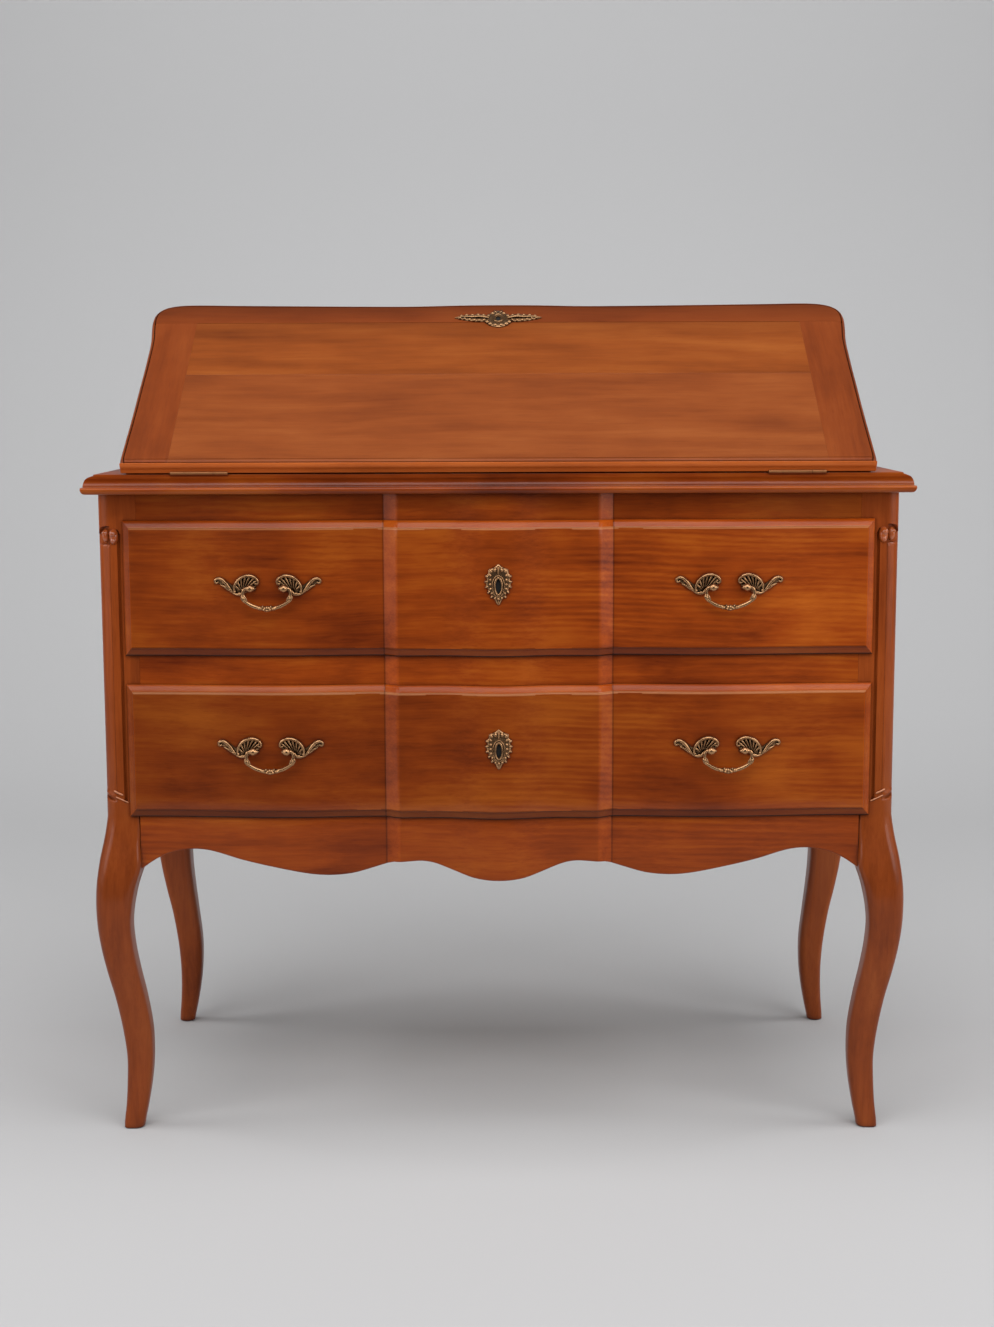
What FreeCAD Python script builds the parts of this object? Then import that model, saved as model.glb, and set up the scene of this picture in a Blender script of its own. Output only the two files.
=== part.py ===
import FreeCAD, Part
import os
import math

os.makedirs("parts", exist_ok=True)
V = FreeCAD.Vector

# ---------------------------------------------------------------- driving dimensions (mm)
# desk board
NOSE_X = 471.0          # half width over the board's nose
NOSE_Y = -240.0         # front of the nose
BOARD_BACK = 236.0
BOARD_Z0 = 763.7
BOARD_Z1 = 786.0
SHELF_E = 16.5          # nose front to the upright face of the board's moulding
NOSE_TOP = 771.5        # top of the nose, where the open fall comes to rest
# corner posts and legs
POST_X0, POST_X1 = 415.0, 460.0
POST_YF, POST_D = -198.0, 45.0
REAR_YB = 232.0
CANT = 14.0
# drawer openings
UP_Z0, UP_Z1 = 580.0, 729.0
LO_Z0, LO_Z1 = 390.0, 538.0
LIP_X = 432.0           # half width of an overlay front
FIELD_X = 424.0
LIP_T, FIELD_T = 4.5, 9.0
RAIL_BACK = -168.0
FRONT_BACK = -174.0     # inner face of a drawer front
# plan of the front: bow, step, centre bow
STEP_X0, STEP_X1 = 131.5, 116.0
BOW, STEP_LOW, STEP_HIGH, DIP, CENTRE = 10.0, 3.5, 14.0, 12.5, 22.0
BOW_X, DIP_X = 240.0, 72.0
# fall
SLOPE = 33.0            # degrees from level
AX_Y, AX_Z = -224.0, 787.0
FALL_T = 15.0
FALL_L = 340.0
FALL_X = 429.3
STILE_X = 373.0
JOINT_S, RAIL_S = 181.0, 298.0
# upper case
UC_X1, UC_X0 = 424.0, 408.0
UC_TOP = 966.0
TOP_T = 16.0
FIT_Y = 66.0            # front of the inner fitment
# hinges
HX0, HX1 = 306.0, 371.0
PIN_R = 1.2
# stays
ST_P, ST_E = 120.0, 9.0       # pivot on the fall: along the slope, off the inner face
ST_GF, ST_GU = 118.0, 24.0    # pivot on the case: behind and above the hinge axis
# handles
HAND_X = 264.0
HAND_Z = (660.0, 471.0)
EAR_X = 19.4            # ears of a handle, from its middle
AXIS_DZ = -4.0          # bail axis below the middle of the plates
BAIL_X = 27.0
BAIL_OUT = 11.5         # bail axis off the drawer face
BAIL_DROP = 23.2
BAIL_R = 1.9
BEND_R, SIDE_R, BAIL_LEG = 3.5, 8.0, 9.0

CS, SN = math.cos(math.radians(SLOPE)), math.sin(math.radians(SLOPE))


# ---------------------------------------------------------------- helpers
def box(x0, x1, y0, y1, z0, z1):
    return Part.makeBox(x1 - x0, y1 - y0, z1 - z0, V(x0, y0, z0))


def cyl(r, p, d, length):
    return Part.makeCylinder(r, length, V(*p), V(*d))


def prism(pts, vec):
    w = Part.makePolygon([V(*p) for p in pts] + [V(*pts[0])])
    return Part.Face(w).extrude(V(*vec))


def spline(pts):
    c = Part.BSplineCurve()
    c.interpolate([V(*p) for p in pts])
    return c.toShape()


def line(a, b):
    return Part.makeLine(V(*a), V(*b))


def fuse(shapes):
    s = shapes[0]
    for o in shapes[1:]:
        s = s.fuse(o)
    return s.removeSplitter()


def cut(shape, tools):
    for t in tools:
        shape = shape.cut(t)
    return shape


def mx(shape):
    return shape.mirror(V(0, 0, 0), V(1, 0, 0))


def solid_of(shape):
    s = shape.Solids
    if len(s) == 1:
        return s[0]
    return max(s, key=lambda q: q.Volume)


def save(name, shapes):
    if not isinstance(shapes, (list, tuple)):
        shapes = [shapes]
    out = []
    for s in shapes:
        out += s.Solids
    c = out[0] if len(out) == 1 else Part.makeCompound(out)
    bad = [q for q in out if not q.isValid()]
    bb = c.BoundBox
    print("%-26s solids %d valid %s  x %.1f %.1f  y %.1f %.1f  z %.1f %.1f" % (
        name, len(out), not bad, bb.XMin, bb.XMax, bb.YMin, bb.YMax, bb.ZMin, bb.ZMax))
    c.exportStep("parts/" + name + ".step")


def ease(a, b, t):
    return a + (b - a) * (1 - math.cos(math.pi * max(0.0, min(1.0, t)))) / 2


def bowf(x):
    # how far the front stands before the plane of the posts
    a = abs(x)
    if a >= POST_X0:
        return 0.0
    if a >= BOW_X:
        return ease(0.0, BOW, (POST_X0 - a) / (POST_X0 - BOW_X))
    if a >= STEP_X0:
        return ease(BOW, STEP_LOW, (BOW_X - a) / (BOW_X - STEP_X0))
    if a >= STEP_X1:
        return STEP_LOW + (STEP_HIGH - STEP_LOW) * (STEP_X0 - a) / (STEP_X0 - STEP_X1)
    if a >= DIP_X:
        return ease(STEP_HIGH, DIP, (STEP_X1 - a) / (STEP_X1 - DIP_X))
    return ease(DIP, CENTRE, (DIP_X - a) / DIP_X)


def front_edges(xe, off, z):
    # edges of the stepped and bowed front line, left to right, at height z
    def p(x):
        return (x, POST_YF - bowf(x) - off, z)

    def run(a, b, n):
        return [p(a + (b - a) * i / n) for i in range(n + 1)]

    e = []
    xs = min(xe, POST_X0)
    if xe > POST_X0 + 0.01:
        e.append(line(p(-xe), p(-POST_X0)))
    e.append(spline(run(-xs, -STEP_X0, 14)))
    e.append(line(p(-STEP_X0), p(-STEP_X1)))
    e.append(spline(run(-STEP_X1, STEP_X1, 16)))
    e.append(line(p(STEP_X1), p(STEP_X0)))
    e.append(spline(run(STEP_X0, xs, 14)))
    if xe > POST_X0 + 0.01:
        e.append(line(p(POST_X0), p(xe)))
    return e


def front_slab(xe, off, yback, z0, z1):
    # solid between the front line and a flat back
    e = front_edges(xe, off, z0)
    a = (-xe, POST_YF - bowf(xe) - off, z0)
    b = (xe, POST_YF - bowf(xe) - off, z0)
    e += [line(b, (xe, yback, z0)), line((xe, yback, z0), (-xe, yback, z0)), line((-xe, yback, z0), a)]
    return Part.Face(Part.Wire(e)).extrude(V(0, 0, z1 - z0))


def front_ribbon(xe, off0, off1, z0, z1):
    # solid between two copies of the front line
    e = front_edges(xe, off1, z0)
    f = front_edges(xe, off0, z0)
    a1 = (-xe, POST_YF - bowf(xe) - off1, z0)
    a0 = (-xe, POST_YF - bowf(xe) - off0, z0)
    b1 = (xe, a1[1], z0)
    b0 = (xe, a0[1], z0)
    w = Part.Wire(e + [line(b1, b0)] + f[::-1] + [line(a0, a1)])
    return Part.Face(w).extrude(V(0, 0, z1 - z0))


def fall_pt(x, s, n):
    # s up the slope from the hinge axis, n outward from the inner face
    return (x, AX_Y + s * CS - n * SN, AX_Z + s * SN + n * CS)


def fall_box(x0, x1, s0, s1, n0, n1):
    pts = [fall_pt(x0, s0, n0), fall_pt(x0, s1, n0), fall_pt(x0, s1, n1), fall_pt(x0, s0, n1)]
    return prism(pts, (x1 - x0, 0, 0))


def fall_prism(xs_pts, n0, n1):
    pts = [fall_pt(x, s, n0) for x, s in xs_pts]
    return prism(pts, (0, -(n1 - n0) * SN, (n1 - n0) * CS))


# ---------------------------------------------------------------- legs with posts
# height, outer face, inner face, measured from the middle of the desk
LEG = [(0.0, 452.4, 429.2), (9.0, 452.0, 427.8), (31.0, 449.8, 423.5), (60.0, 448.3, 419.2), (88.0, 448.1, 417.2),
       (122.0, 451.6, 417.8), (162.0, 458.1, 422.8), (197.0, 465.7, 428.8), (230.0, 471.5, 433.3),
       (261.0, 474.6, 434.5), (297.0, 474.6, 429.0), (331.0, 469.6, 419.0), (360.0, 463.4, 415.2), (383.0, 459.9, 415.0)]
REAR_LEG = [(0.0, 452.5, 428.0), (9.0, 451.7, 426.6), (31.0, 448.5, 423.3), (60.0, 446.1, 419.0), (88.0, 445.7, 415.8),
            (122.0, 447.8, 415.2), (162.0, 453.7, 420.0), (197.0, 461.0, 425.0), (230.0, 467.0, 428.5),
            (261.0, 470.5, 429.5), (297.0, 471.1, 427.0), (331.0, 467.5, 420.0), (360.0, 463.0, 416.0)]
LEG_TOP = 392.0


def ring(x0, x1, y0, y1, z, r):
    # rounded square section
    r = min(r, (x1 - x0) / 2 - 0.5, (y1 - y0) / 2 - 0.5)
    k = r * (1 - math.sqrt(0.5))
    e = [line((x0 + r, y0, z), (x1 - r, y0, z)),
         Part.Arc(V(x1 - r, y0, z), V(x1 - k, y0 + k, z), V(x1, y0 + r, z)).toShape(),
         line((x1, y0 + r, z), (x1, y1 - r, z)),
         Part.Arc(V(x1, y1 - r, z), V(x1 - k, y1 - k, z), V(x1 - r, y1, z)).toShape(),
         line((x1 - r, y1, z), (x0 + r, y1, z)),
         Part.Arc(V(x0 + r, y1, z), V(x0 + k, y1 - k, z), V(x0, y1 - r, z)).toShape(),
         line((x0, y1 - r, z), (x0, y0 + r, z)),
         Part.Arc(V(x0, y0 + r, z), V(x0 + k, y0 + k, z), V(x0 + r, y0, z)).toShape()]
    return Part.Wire(e)


def leg(front):
    secs = []
    for z, xo, xi in (LEG if front else REAR_LEG) + [(LEG_TOP, POST_X1, POST_X0)]:
        do, di = POST_X1 - xo, POST_X1 - xi
        if front:
            y0, y1 = POST_YF + do, POST_YF + di
        else:
            # the back of a rear leg stays near the wall and kicks back at the foot
            t = max(0.0, 1 - z / 150.0)
            yb = REAR_YB - 3.0 * math.sin(math.pi * min(1.0, z / 260.0)) + 8.0 * t * t
            y0, y1 = yb - (xo - xi), yb
        r = 2.5 if z >= LEG_TOP else (4.0 + 6.0 * min(1.0, (LEG_TOP - z) / 120.0))
        secs.append(ring(xi, xo, y0, y1, z, r))
    low = Part.makeLoft(secs, True, False)
    post = Part.Face(secs[-1]).extrude(V(0, 0, BOARD_Z0 - LEG_TOP))
    s = low.fuse(post).removeSplitter()
    if front:
        c = POST_X1 - CANT
        cant = prism([(c - 1, POST_YF - 1, 404.0), (POST_X1 + 1, POST_YF - 1, 404.0),
                      (POST_X1 + 1, POST_YF + CANT + 1, 404.0)], (0, 0, 326.0))
        s = s.cut(cant)
    return solid_of(s)


front_leg = leg(True)
rear_leg = leg(False)

# ---------------------------------------------------------------- front rails and apron
TEN_Y0, TEN_Y1 = -190.0, -178.0
TEN_L = 24.0


def rail(z0, z1, t0, t1):
    r = front_slab(POST_X0, 0.0, RAIL_BACK, z0, z1)
    ten = box(POST_X0 - 1, POST_X0 + TEN_L, TEN_Y0, TEN_Y1, t0, t1)
    return fuse([r, ten, mx(ten)])


top_rail = rail(UP_Z1, BOARD_Z0, 736.0, 756.0)
mid_rail = rail(LO_Z1, UP_Z0, 546.0, 572.0)

HALF = [(-424.0, 320.0), (-416.0, 325.5), (-405.0, 333.0), (-390.0, 340.3), (-371.0, 345.0), (-356.0, 346.3), (-336.0, 344.0),
        (-301.0, 334.0), (-254.0, 323.6), (-219.0, 317.2), (-196.0, 315.7), (-172.0, 317.6), (-149.0, 323.6),
        (-123.5, 331.6)]
MIDDLE = [(-123.5, 331.6), (-101.0, 333.4), (-89.6, 333.7), (-75.6, 331.6), (-54.7, 324.0), (-31.4, 315.5), (-14.0, 312.6), (0.0, 312.0)]


def apron_outline(y):
    left = [(x, y, z) for x, z in HALF]
    mid = [(x, y, z) for x, z in MIDDLE] + [(-x, y, z) for x, z in MIDDLE[-2::-1]]
    right = [(-x, y, z) for x, z in HALF[::-1]]
    e = [spline(left), spline(mid), spline(right),
         line((424.0, y, 320.0), (424.0, y, LO_Z0)), line((424.0, y, LO_Z0), (-424.0, y, LO_Z0)),
         line((-424.0, y, LO_Z0), (-424.0, y, 320.0))]
    return Part.Face(Part.Wire(e))


apron = front_slab(424.0, 0.0, RAIL_BACK, 300.0, LO_Z0).common(apron_outline(-300.0).extrude(V(0, 200, 0)))
apron = cut(apron, [front_leg, mx(front_leg)])
apron = solid_of(apron)
ten = box(POST_X0 - 1, POST_X0 + TEN_L, TEN_Y0, TEN_Y1, 360.0, 384.0)
apron = solid_of(fuse([apron, ten, mx(ten)]))

# ---------------------------------------------------------------- sides, aprons and back of the lower case
Y_F, Y_R = POST_YF + POST_D, REAR_YB - POST_D
SP_X0, SP_X1 = 432.0, 448.0
side_panel = fuse([box(SP_X0, SP_X1, Y_F, Y_R, 400.0, BOARD_Z0),
                   box(SP_X0 + 5, SP_X1 - 3, Y_F - 9, Y_R + 9, 408.0, BOARD_Z0 - 8)])
sa = [(Y_F - 6, 334.0), (Y_F + 18, 344.0), (Y_F + 60, 350.0), (Y_F + 110, 340.0), (0.5 * (Y_F + Y_R), 334.0)]
sa_pts = [(430.0, y, z) for y, z in sa] + [(430.0, Y_F + Y_R - y, z) for y, z in sa[-2::-1]]
sa_w = Part.Wire([spline(sa_pts), line((430.0, Y_R + 6, 334.0), (430.0, Y_R + 6, 400.0)),
                  line((430.0, Y_R + 6, 400.0), (430.0, Y_F - 6, 400.0)), line((430.0, Y_F - 6, 400.0), (430.0, Y_F - 6, 334.0))])
side_apron = Part.Face(sa_w).extrude(V(20.0, 0, 0))
side_apron = solid_of(cut(side_apron, [front_leg, rear_leg]))
side_ten = [box(435.0, 447.0, Y_F - 20, Y_F + 1, 366.0, 392.0), box(435.0, 447.0, Y_R - 1, Y_R + 20, 366.0, 392.0)]
side_apron = solid_of(fuse([side_apron] + side_ten))

back_panel = fuse([box(-POST_X0, POST_X0, 214.0, 226.0, 400.0, BOARD_Z0),
                   box(-POST_X0 - 9, POST_X0 + 9, 217.0, 223.0, 408.0, BOARD_Z0 - 8)])
rear_apron = fuse([box(-POST_X0, POST_X0, 208.0, 228.0, 344.0, 400.0),
                   box(-POST_X0 - 20, POST_X0 + 20, 212.0, 224.0, 360.0, 392.0)])

# legs take the tenons and tongues
fl = cut(front_leg, [mx(top_rail), mx(mid_rail), mx(apron), side_panel, side_apron])
fl = solid_of(fl)
rl = solid_of(cut(rear_leg, [back_panel, rear_apron, side_panel, side_apron]))

# runners: a shelf under each drawer side and a guide beside it
runners = []
for z in (LO_Z0, UP_Z0):
    r = fuse([box(392.0, SP_X0, RAIL_BACK, 213.8, z - 22.0, z + 1.0), box(416.0, SP_X0, Y_F + 0.2, Y_R - 0.2, z + 1.0, z + 34.0)])
    r = cut(r, [box(POST_X0 - 0.0, POST_X1, POST_YF - 5, Y_F, 0, BOARD_Z0), box(POST_X0, POST_X1, Y_R, REAR_YB + 20, 0, BOARD_Z0)])
    r = solid_of(r)
    runners += [r, mx(r)]
# the lower runners stand on the side aprons' inner edge
runners = [solid_of(cut(r, [side_apron, mx(side_apron), apron, rear_leg, mx(rear_leg), front_leg, mx(front_leg), rear_apron])) for r in runners]

# ---------------------------------------------------------------- desk board
fp = [(NOSE_Y + 4.6, BOARD_Z0), (NOSE_Y + 2.0, BOARD_Z0 + 1.2), (NOSE_Y + 0.6, BOARD_Z0 + 3.0), (NOSE_Y + 0.0, BOARD_Z0 + 5.0),
      (NOSE_Y + 0.3, BOARD_Z0 + 6.4), (NOSE_Y + 1.4, BOARD_Z0 + 7.4), (NOSE_Y + 3.2, NOSE_TOP), (NOSE_Y + SHELF_E - 0.4, NOSE_TOP),
      (NOSE_Y + SHELF_E, 773.2), (NOSE_Y + SHELF_E + 0.9, 775.2), (NOSE_Y + SHELF_E + 1.3, 777.4), (NOSE_Y + SHELF_E + 1.0, 779.6),
      (NOSE_Y + SHELF_E, 781.2), (NOSE_Y + SHELF_E, BOARD_Z1), (BOARD_BACK, BOARD_Z1), (BOARD_BACK, BOARD_Z0)]
bf = prism([(-NOSE_X, y, z) for y, z in fp], (2 * NOSE_X, 0, 0))
half = [(NOSE_X - 4.6, BOARD_Z0), (NOSE_X - 2.0, BOARD_Z0 + 1.2), (NOSE_X - 0.6, BOARD_Z0 + 3.0), (NOSE_X, BOARD_Z0 + 5.4),
        (NOSE_X, 773.8), (NOSE_X - 0.7, 776.8), (NOSE_X - 2.2, 779.4), (NOSE_X - 4.8, 781.7), (NOSE_X - 8.2, 783.2),
        (NOSE_X - 10.6, 784.1), (NOSE_X - 12.4, 784.5), (NOSE_X - 12.4, BOARD_Z1)]
sp = half + [(-x, z) for x, z in half[::-1]]
bs = prism([(x, -300.0, z) for x, z in sp], (0, 600.0, 0))
board = bf.common(bs)

# ---------------------------------------------------------------- fall
corner = [(FALL_X, 0.0), (FALL_X - 2.1, 110.0), (FALL_X - 1.6, 200.0), (FALL_X - 2.3, 268.0), (FALL_X - 2.3, 298.0), (FALL_X - 3.8, 312.0),
          (FALL_X - 8.3, 323.0), (FALL_X - 17.3, 332.0), (FALL_X - 33.3, 337.8), (FALL_X - 67.3, 339.8), (330.0, FALL_L), (180.0, 338.6),
          (100.0, 337.6), (0.0, 339.0)]
outline = corner + [(-x, s) for x, s in corner[-2::-1]]
fall_all = fall_prism(outline, 0.0, FALL_T)


def fall_cell(x0, x1, s0, s1):
    return solid_of(fall_all.common(fall_box(x0, x1, s0, s1, -5, FALL_T + 5)))


f_lower = fall_cell(-STILE_X, STILE_X, -5, JOINT_S)
f_upper = fall_cell(-STILE_X, STILE_X, JOINT_S, RAIL_S)
f_left = fall_cell(-FALL_X - 5, -STILE_X, -5, RAIL_S)
f_top = fall_cell(-FALL_X - 5, FALL_X + 5, RAIL_S, FALL_L + 5)
# loose-fitting tongues: boards into stiles, boards and stiles into the top rail
tl = fall_box(-STILE_X - 8, -STILE_X + 1, 12, JOINT_S - 6, 5, 10)
tu = fall_box(-STILE_X - 8, -STILE_X + 1, JOINT_S + 6, RAIL_S - 8, 5, 10)
tj = fall_box(-STILE_X + 6, STILE_X - 6, JOINT_S - 1, JOINT_S + 7, 5, 10)
tt = fall_box(-FALL_X + 26, FALL_X - 26, RAIL_S - 1, RAIL_S + 9, 5, 10)
tt_mid = tt.common(fall_box(-STILE_X + 4, STILE_X - 4, 0, 400, -5, 20))
tt_l = tt.common(fall_box(-FALL_X, -STILE_X - 4, 0, 400, -5, 20))
f_lower = fuse([f_lower, tl, mx(tl), tj])
f_upper = fuse([f_upper.cut(tj), tu, mx(tu), tt_mid])
f_left = fuse([f_left.cut(tl).cut(tu), tt_l])
f_top = f_top.cut(tt_mid).cut(tt_l).cut(mx(tt_l))
# lock let into the inner face
f_lock = fuse([fall_box(-36, 36, 288, 330, -0.0, 2.2), fall_box(-28, 28, 292, 326, 2.0, 9.0)])
key_hole = fall_box(-2.2, 2.2, 300, 309, 8.0, 20.0)
f_upper = solid_of(f_upper.cut(f_lock))
f_top = solid_of(f_top.cut(f_lock).cut(key_hole))

# hinges
def hinge(x0):
    x1 = x0 + (HX1 - HX0)
    a, b = x0 + 16.0, x1 - 16.0
    ax = (AX_Y, AX_Z)
    k1 = cyl(2.6, (x0, ax[0], ax[1]), (1, 0, 0), a - 0.3 - x0)
    k2 = cyl(2.6, (b + 0.3, ax[0], ax[1]), (1, 0, 0), x1 - b - 0.3)
    plate = box(x0, x1, AX_Y + 3.2, AX_Y + 28.0, BOARD_Z1 - 1.6, BOARD_Z1 - 0.0)
    tab1 = box(x0, a - 0.3, AX_Y, AX_Y + 4.0, BOARD_Z1 - 1.6, BOARD_Z1)
    tab2 = box(b + 0.3, x1, AX_Y, AX_Y + 4.0, BOARD_Z1 - 1.6, BOARD_Z1)
    pin = cyl(PIN_R, (x0, ax[0], ax[1]), (1, 0, 0), x1 - x0)
    fixed = fuse([k1, k2, plate, tab1, tab2]).cut(pin)
    k3 = cyl(2.6, (a + 0.1, ax[0], ax[1]), (1, 0, 0), b - a - 0.2)
    leaf = fall_box(x0, x1, 3.4, 28.0, 0.0, 1.6)
    tab3 = fall_box(a + 0.1, b - 0.1, 0.0, 4.0, 0.0, 1.6)
    bore = cyl(PIN_R + 0.05, (x0 - 1, ax[0], ax[1]), (1, 0, 0), x1 - x0 + 2)
    moving = fuse([k3, leaf, tab3]).cut(bore)
    return solid_of(fixed), solid_of(moving), pin


case_leaves, fall_leaves, pins = [], [], []
for x0 in (HX0, -HX1):
    a, b, c = hinge(x0)
    case_leaves.append(a)
    fall_leaves.append(b)
    pins.append(c)
    # the boards are let in for the leaves and relieved round the knuckles
    room = cyl(3.0, (x0 - 0.4, AX_Y, AX_Z), (1, 0, 0), HX1 - HX0 + 0.8)
    board = cut(board, [room, a])
    f_lower = cut(f_lower, [room, b])
board = solid_of(board)
f_lower = solid_of(f_lower)
f_left = solid_of(f_left)

# brass on the fall
esc_half = [(0.0, 21.0), (9.0, 18.0), (13.0, 12.0), (22.0, 13.0), (33.0, 9.0), (44.0, 10.0), (53.5, 3.0), (44.0, -3.0), (34.0, -5.0),
            (24.0, -8.0), (16.0, -9.0), (11.0, -15.0), (5.0, -19.0), (0.0, -20.0)]
esc_out = esc_half + [(-x, s) for x, s in esc_half[-2:0:-1]]
f_esc = fall_prism([(x, s + 305.0) for x, s in esc_out], FALL_T, FALL_T + 2.2)
f_esc = solid_of(f_esc.cut(fall_box(-2.2, 2.2, 300, 309, 10.0, 20.0)))

# ---------------------------------------------------------------- upper case
def side_shape(x0, t):
    off = 0.8 / CS
    zt = UC_TOP
    y_top = AX_Y + (zt - AX_Z + off) / math.tan(math.radians(SLOPE))
    z_f = AX_Z - off + 12.0 * math.tan(math.radians(SLOPE))
    return prism([(x0, AX_Y + 12.0, BOARD_Z1), (x0, AX_Y + 12.0, z_f), (x0, y_top, zt), (x0, 228.0, zt), (x0, 228.0, BOARD_Z1)], (t, 0, 0))


uc_side = side_shape(UC_X0, UC_X1 - UC_X0)
uc_back = fuse([box(-UC_X0, UC_X0, 217.0, 226.0, BOARD_Z1, UC_TOP), box(-UC_X0 - 6, UC_X0 + 6, 219.0, 224.0, BOARD_Z1 + 6, UC_TOP - 6)])
uc_side = solid_of(uc_side.cut(uc_back))
# top board: its front edge leans back with the fall's upper edge, and its ends are rounded over
top_half = [(UC_X1, UC_TOP), (UC_X1 - 2, UC_TOP + 6), (UC_X1 - 6, UC_TOP + 10), (UC_X1 - 14, UC_TOP + 14), (UC_X1 - 23, UC_TOP + TOP_T)]
top_pts = top_half + [(-x, z) for x, z in top_half[::-1]]
top_board = prism([(x, 30.0, z) for x, z in top_pts], (0, 204.0, 0))
lean = 1.2 / CS
y_lo = AX_Y + FALL_L * CS + (AX_Z + FALL_L * SN - (UC_TOP - 2)) * SN / CS + lean
y_hi = AX_Y + FALL_L * CS + (AX_Z + FALL_L * SN - (UC_TOP + TOP_T + 2)) * SN / CS + lean
top_board = top_board.cut(prism([(-500, 0, UC_TOP - 2), (-500, y_lo, UC_TOP - 2), (-500, y_hi, UC_TOP + TOP_T + 2), (-500, 0, UC_TOP + TOP_T + 2)], (1000, 0, 0)))
top_board = solid_of(top_board)
SH0, SH1 = 850.0, 857.0
shelf = fuse([box(-UC_X0, UC_X0, FIT_Y, 217.0, SH0, SH1)])
parts_low = [box(x - 4, x + 4, FIT_Y, 217.0, BOARD_Z1, SH0) for x in (-133.0, 133.0)]


def pigeon(x):
    y0 = FIT_Y + 8
    e = [spline([(x - 3, y0, SH1), (x - 3, y0 + 10, SH1 + 25), (x - 3, y0 + 32, SH1 + 52), (x - 3, y0 + 26, SH1 + 80), (x - 3, y0 + 4, UC_TOP)]),
         line((x - 3, y0 + 4, UC_TOP), (x - 3, 217.0, UC_TOP)), line((x - 3, 217.0, UC_TOP), (x - 3, 217.0, SH1)),
         line((x - 3, 217.0, SH1), (x - 3, y0, SH1))]
    return Part.Face(Part.Wire(e)).extrude(V(6, 0, 0))


parts_up = [pigeon(x) for x in (-245.0, -82.0, 82.0, 245.0)]


def small_drawer(x0, x1):
    # a front with a turned knob, two sides, a back and a bottom
    x0 += 0.7
    x1 -= 0.7
    z0, z1 = BOARD_Z1 + 0.5, SH0 - 0.8
    yf, yb = FIT_Y + 1.0, 206.0
    front = box(x0, x1, yf, yf + 11, z0, z1)
    boards = [box(x0, x0 + 6, yf + 11, yb, z0, z1), box(x1 - 6, x1, yf + 11, yb, z0, z1),
              box(x0 + 6, x1 - 6, yb - 6, yb, z0, z1), box(x0 + 6, x1 - 6, yf + 11, yb - 6, z0, z0 + 5)]
    c = 0.5 * (x0 + x1)
    zc = 0.5 * (z0 + z1)
    peg = cyl(3.0, (c, yf + 9.0, zc), (0, -1, 0), 9.5)
    prof = Part.Wire([line((c, yf, zc), (c + 4.0, yf, zc)), line((c + 4.0, yf, zc), (c + 3.4, yf - 5.0, zc)),
                      Part.Arc(V(c + 3.4, yf - 5.0, zc), V(c + 7.0, yf - 10.0, zc), V(c + 4.0, yf - 14.5, zc)).toShape(),
                      line((c + 4.0, yf - 14.5, zc), (c, yf - 15.2, zc)), line((c, yf - 15.2, zc), (c, yf, zc))])
    knob = solid_of(fuse([Part.Face(prof).revolve(V(c, 0, zc), V(0, 1, 0), 360), peg]))
    return [solid_of(front.cut(peg)), knob] + boards


sd_left = small_drawer(-UC_X0, -137.0)
sd_mid = small_drawer(-129.0, 129.0)
sd_right = small_drawer(137.0, UC_X0)

# ---------------------------------------------------------------- stays
A_X0, A_X1 = 402.3, 405.3       # rear arm
B_X0, B_X1 = 398.0, 401.0       # front arm
E_X0, E_X1 = 393.5, 396.8       # ear of the lug on the fall
PR, HR = 2.5, 2.55
G = (AX_Y + ST_GF, AX_Z + ST_GU)
P = fall_pt(0.0, ST_P, -ST_E)[1:]
J = (G[0] + P[0] - AX_Y, G[1] + P[1] - AX_Z)


def bar(x0, x1, a, b, r, holes):
    d = V(0, b[0] - a[0], b[1] - a[1])
    L = d.Length
    d.normalize()
    n = V(0, -d.z, d.y)
    pts = [V(x0, a[0], a[1]) + n * r, V(x0, b[0], b[1]) + n * r, V(x0, b[0], b[1]) - n * r, V(x0, a[0], a[1]) - n * r]
    s = prism([(p.x, p.y, p.z) for p in pts], (x1 - x0, 0, 0))
    s = fuse([s, cyl(r, (x0, a[0], a[1]), (1, 0, 0), x1 - x0), cyl(r, (x0, b[0], b[1]), (1, 0, 0), x1 - x0)])
    for h in holes:
        s = s.cut(cyl(HR, (x0 - 1, h[0], h[1]), (1, 0, 0), x1 - x0 + 2))
    return s


rear_arm = bar(A_X0, A_X1, G, J, 5.0, [G])
rear_arm = fuse([rear_arm, cyl(PR, (B_X0 - 0.6, J[0], J[1]), (1, 0, 0), A_X0 - B_X0 + 1.0), cyl(4.0, (B_X0 - 1.6, J[0], J[1]), (1, 0, 0), 1.2)])
front_arm = bar(B_X0, B_X1, J, P, 5.0, [J, P])
bracket = fuse([box(UC_X0 - 2.0, UC_X0, G[0] - 17, G[0] + 17, G[1] - 9, G[1] + 9),
                cyl(PR, (A_X0 - 0.5, G[0], G[1]), (1, 0, 0), UC_X0 - A_X0), cyl(4.0, (A_X0 - 1.0, G[0], G[1]), (1, 0, 0), 0.7)])
lug = fuse([fall_box(E_X0 - 9, E_X1, ST_P - 14, ST_P + 14, -1.6, 0.0),
            fall_box(E_X0, E_X1, ST_P - 6, ST_P + 6, -ST_E, -0.5), cyl(6.0, (E_X0, P[0], P[1]), (1, 0, 0), E_X1 - E_X0),
            cyl(PR, (E_X1 - 0.5, P[0], P[1]), (1, 0, 0), B_X1 + 0.3 - E_X1 + 0.5), cyl(3.6, (B_X1 + 0.3, P[0], P[1]), (1, 0, 0), 0.7)])
rear_arm, front_arm, bracket, lug = [solid_of(s) for s in (rear_arm, front_arm, bracket, lug)]

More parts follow.
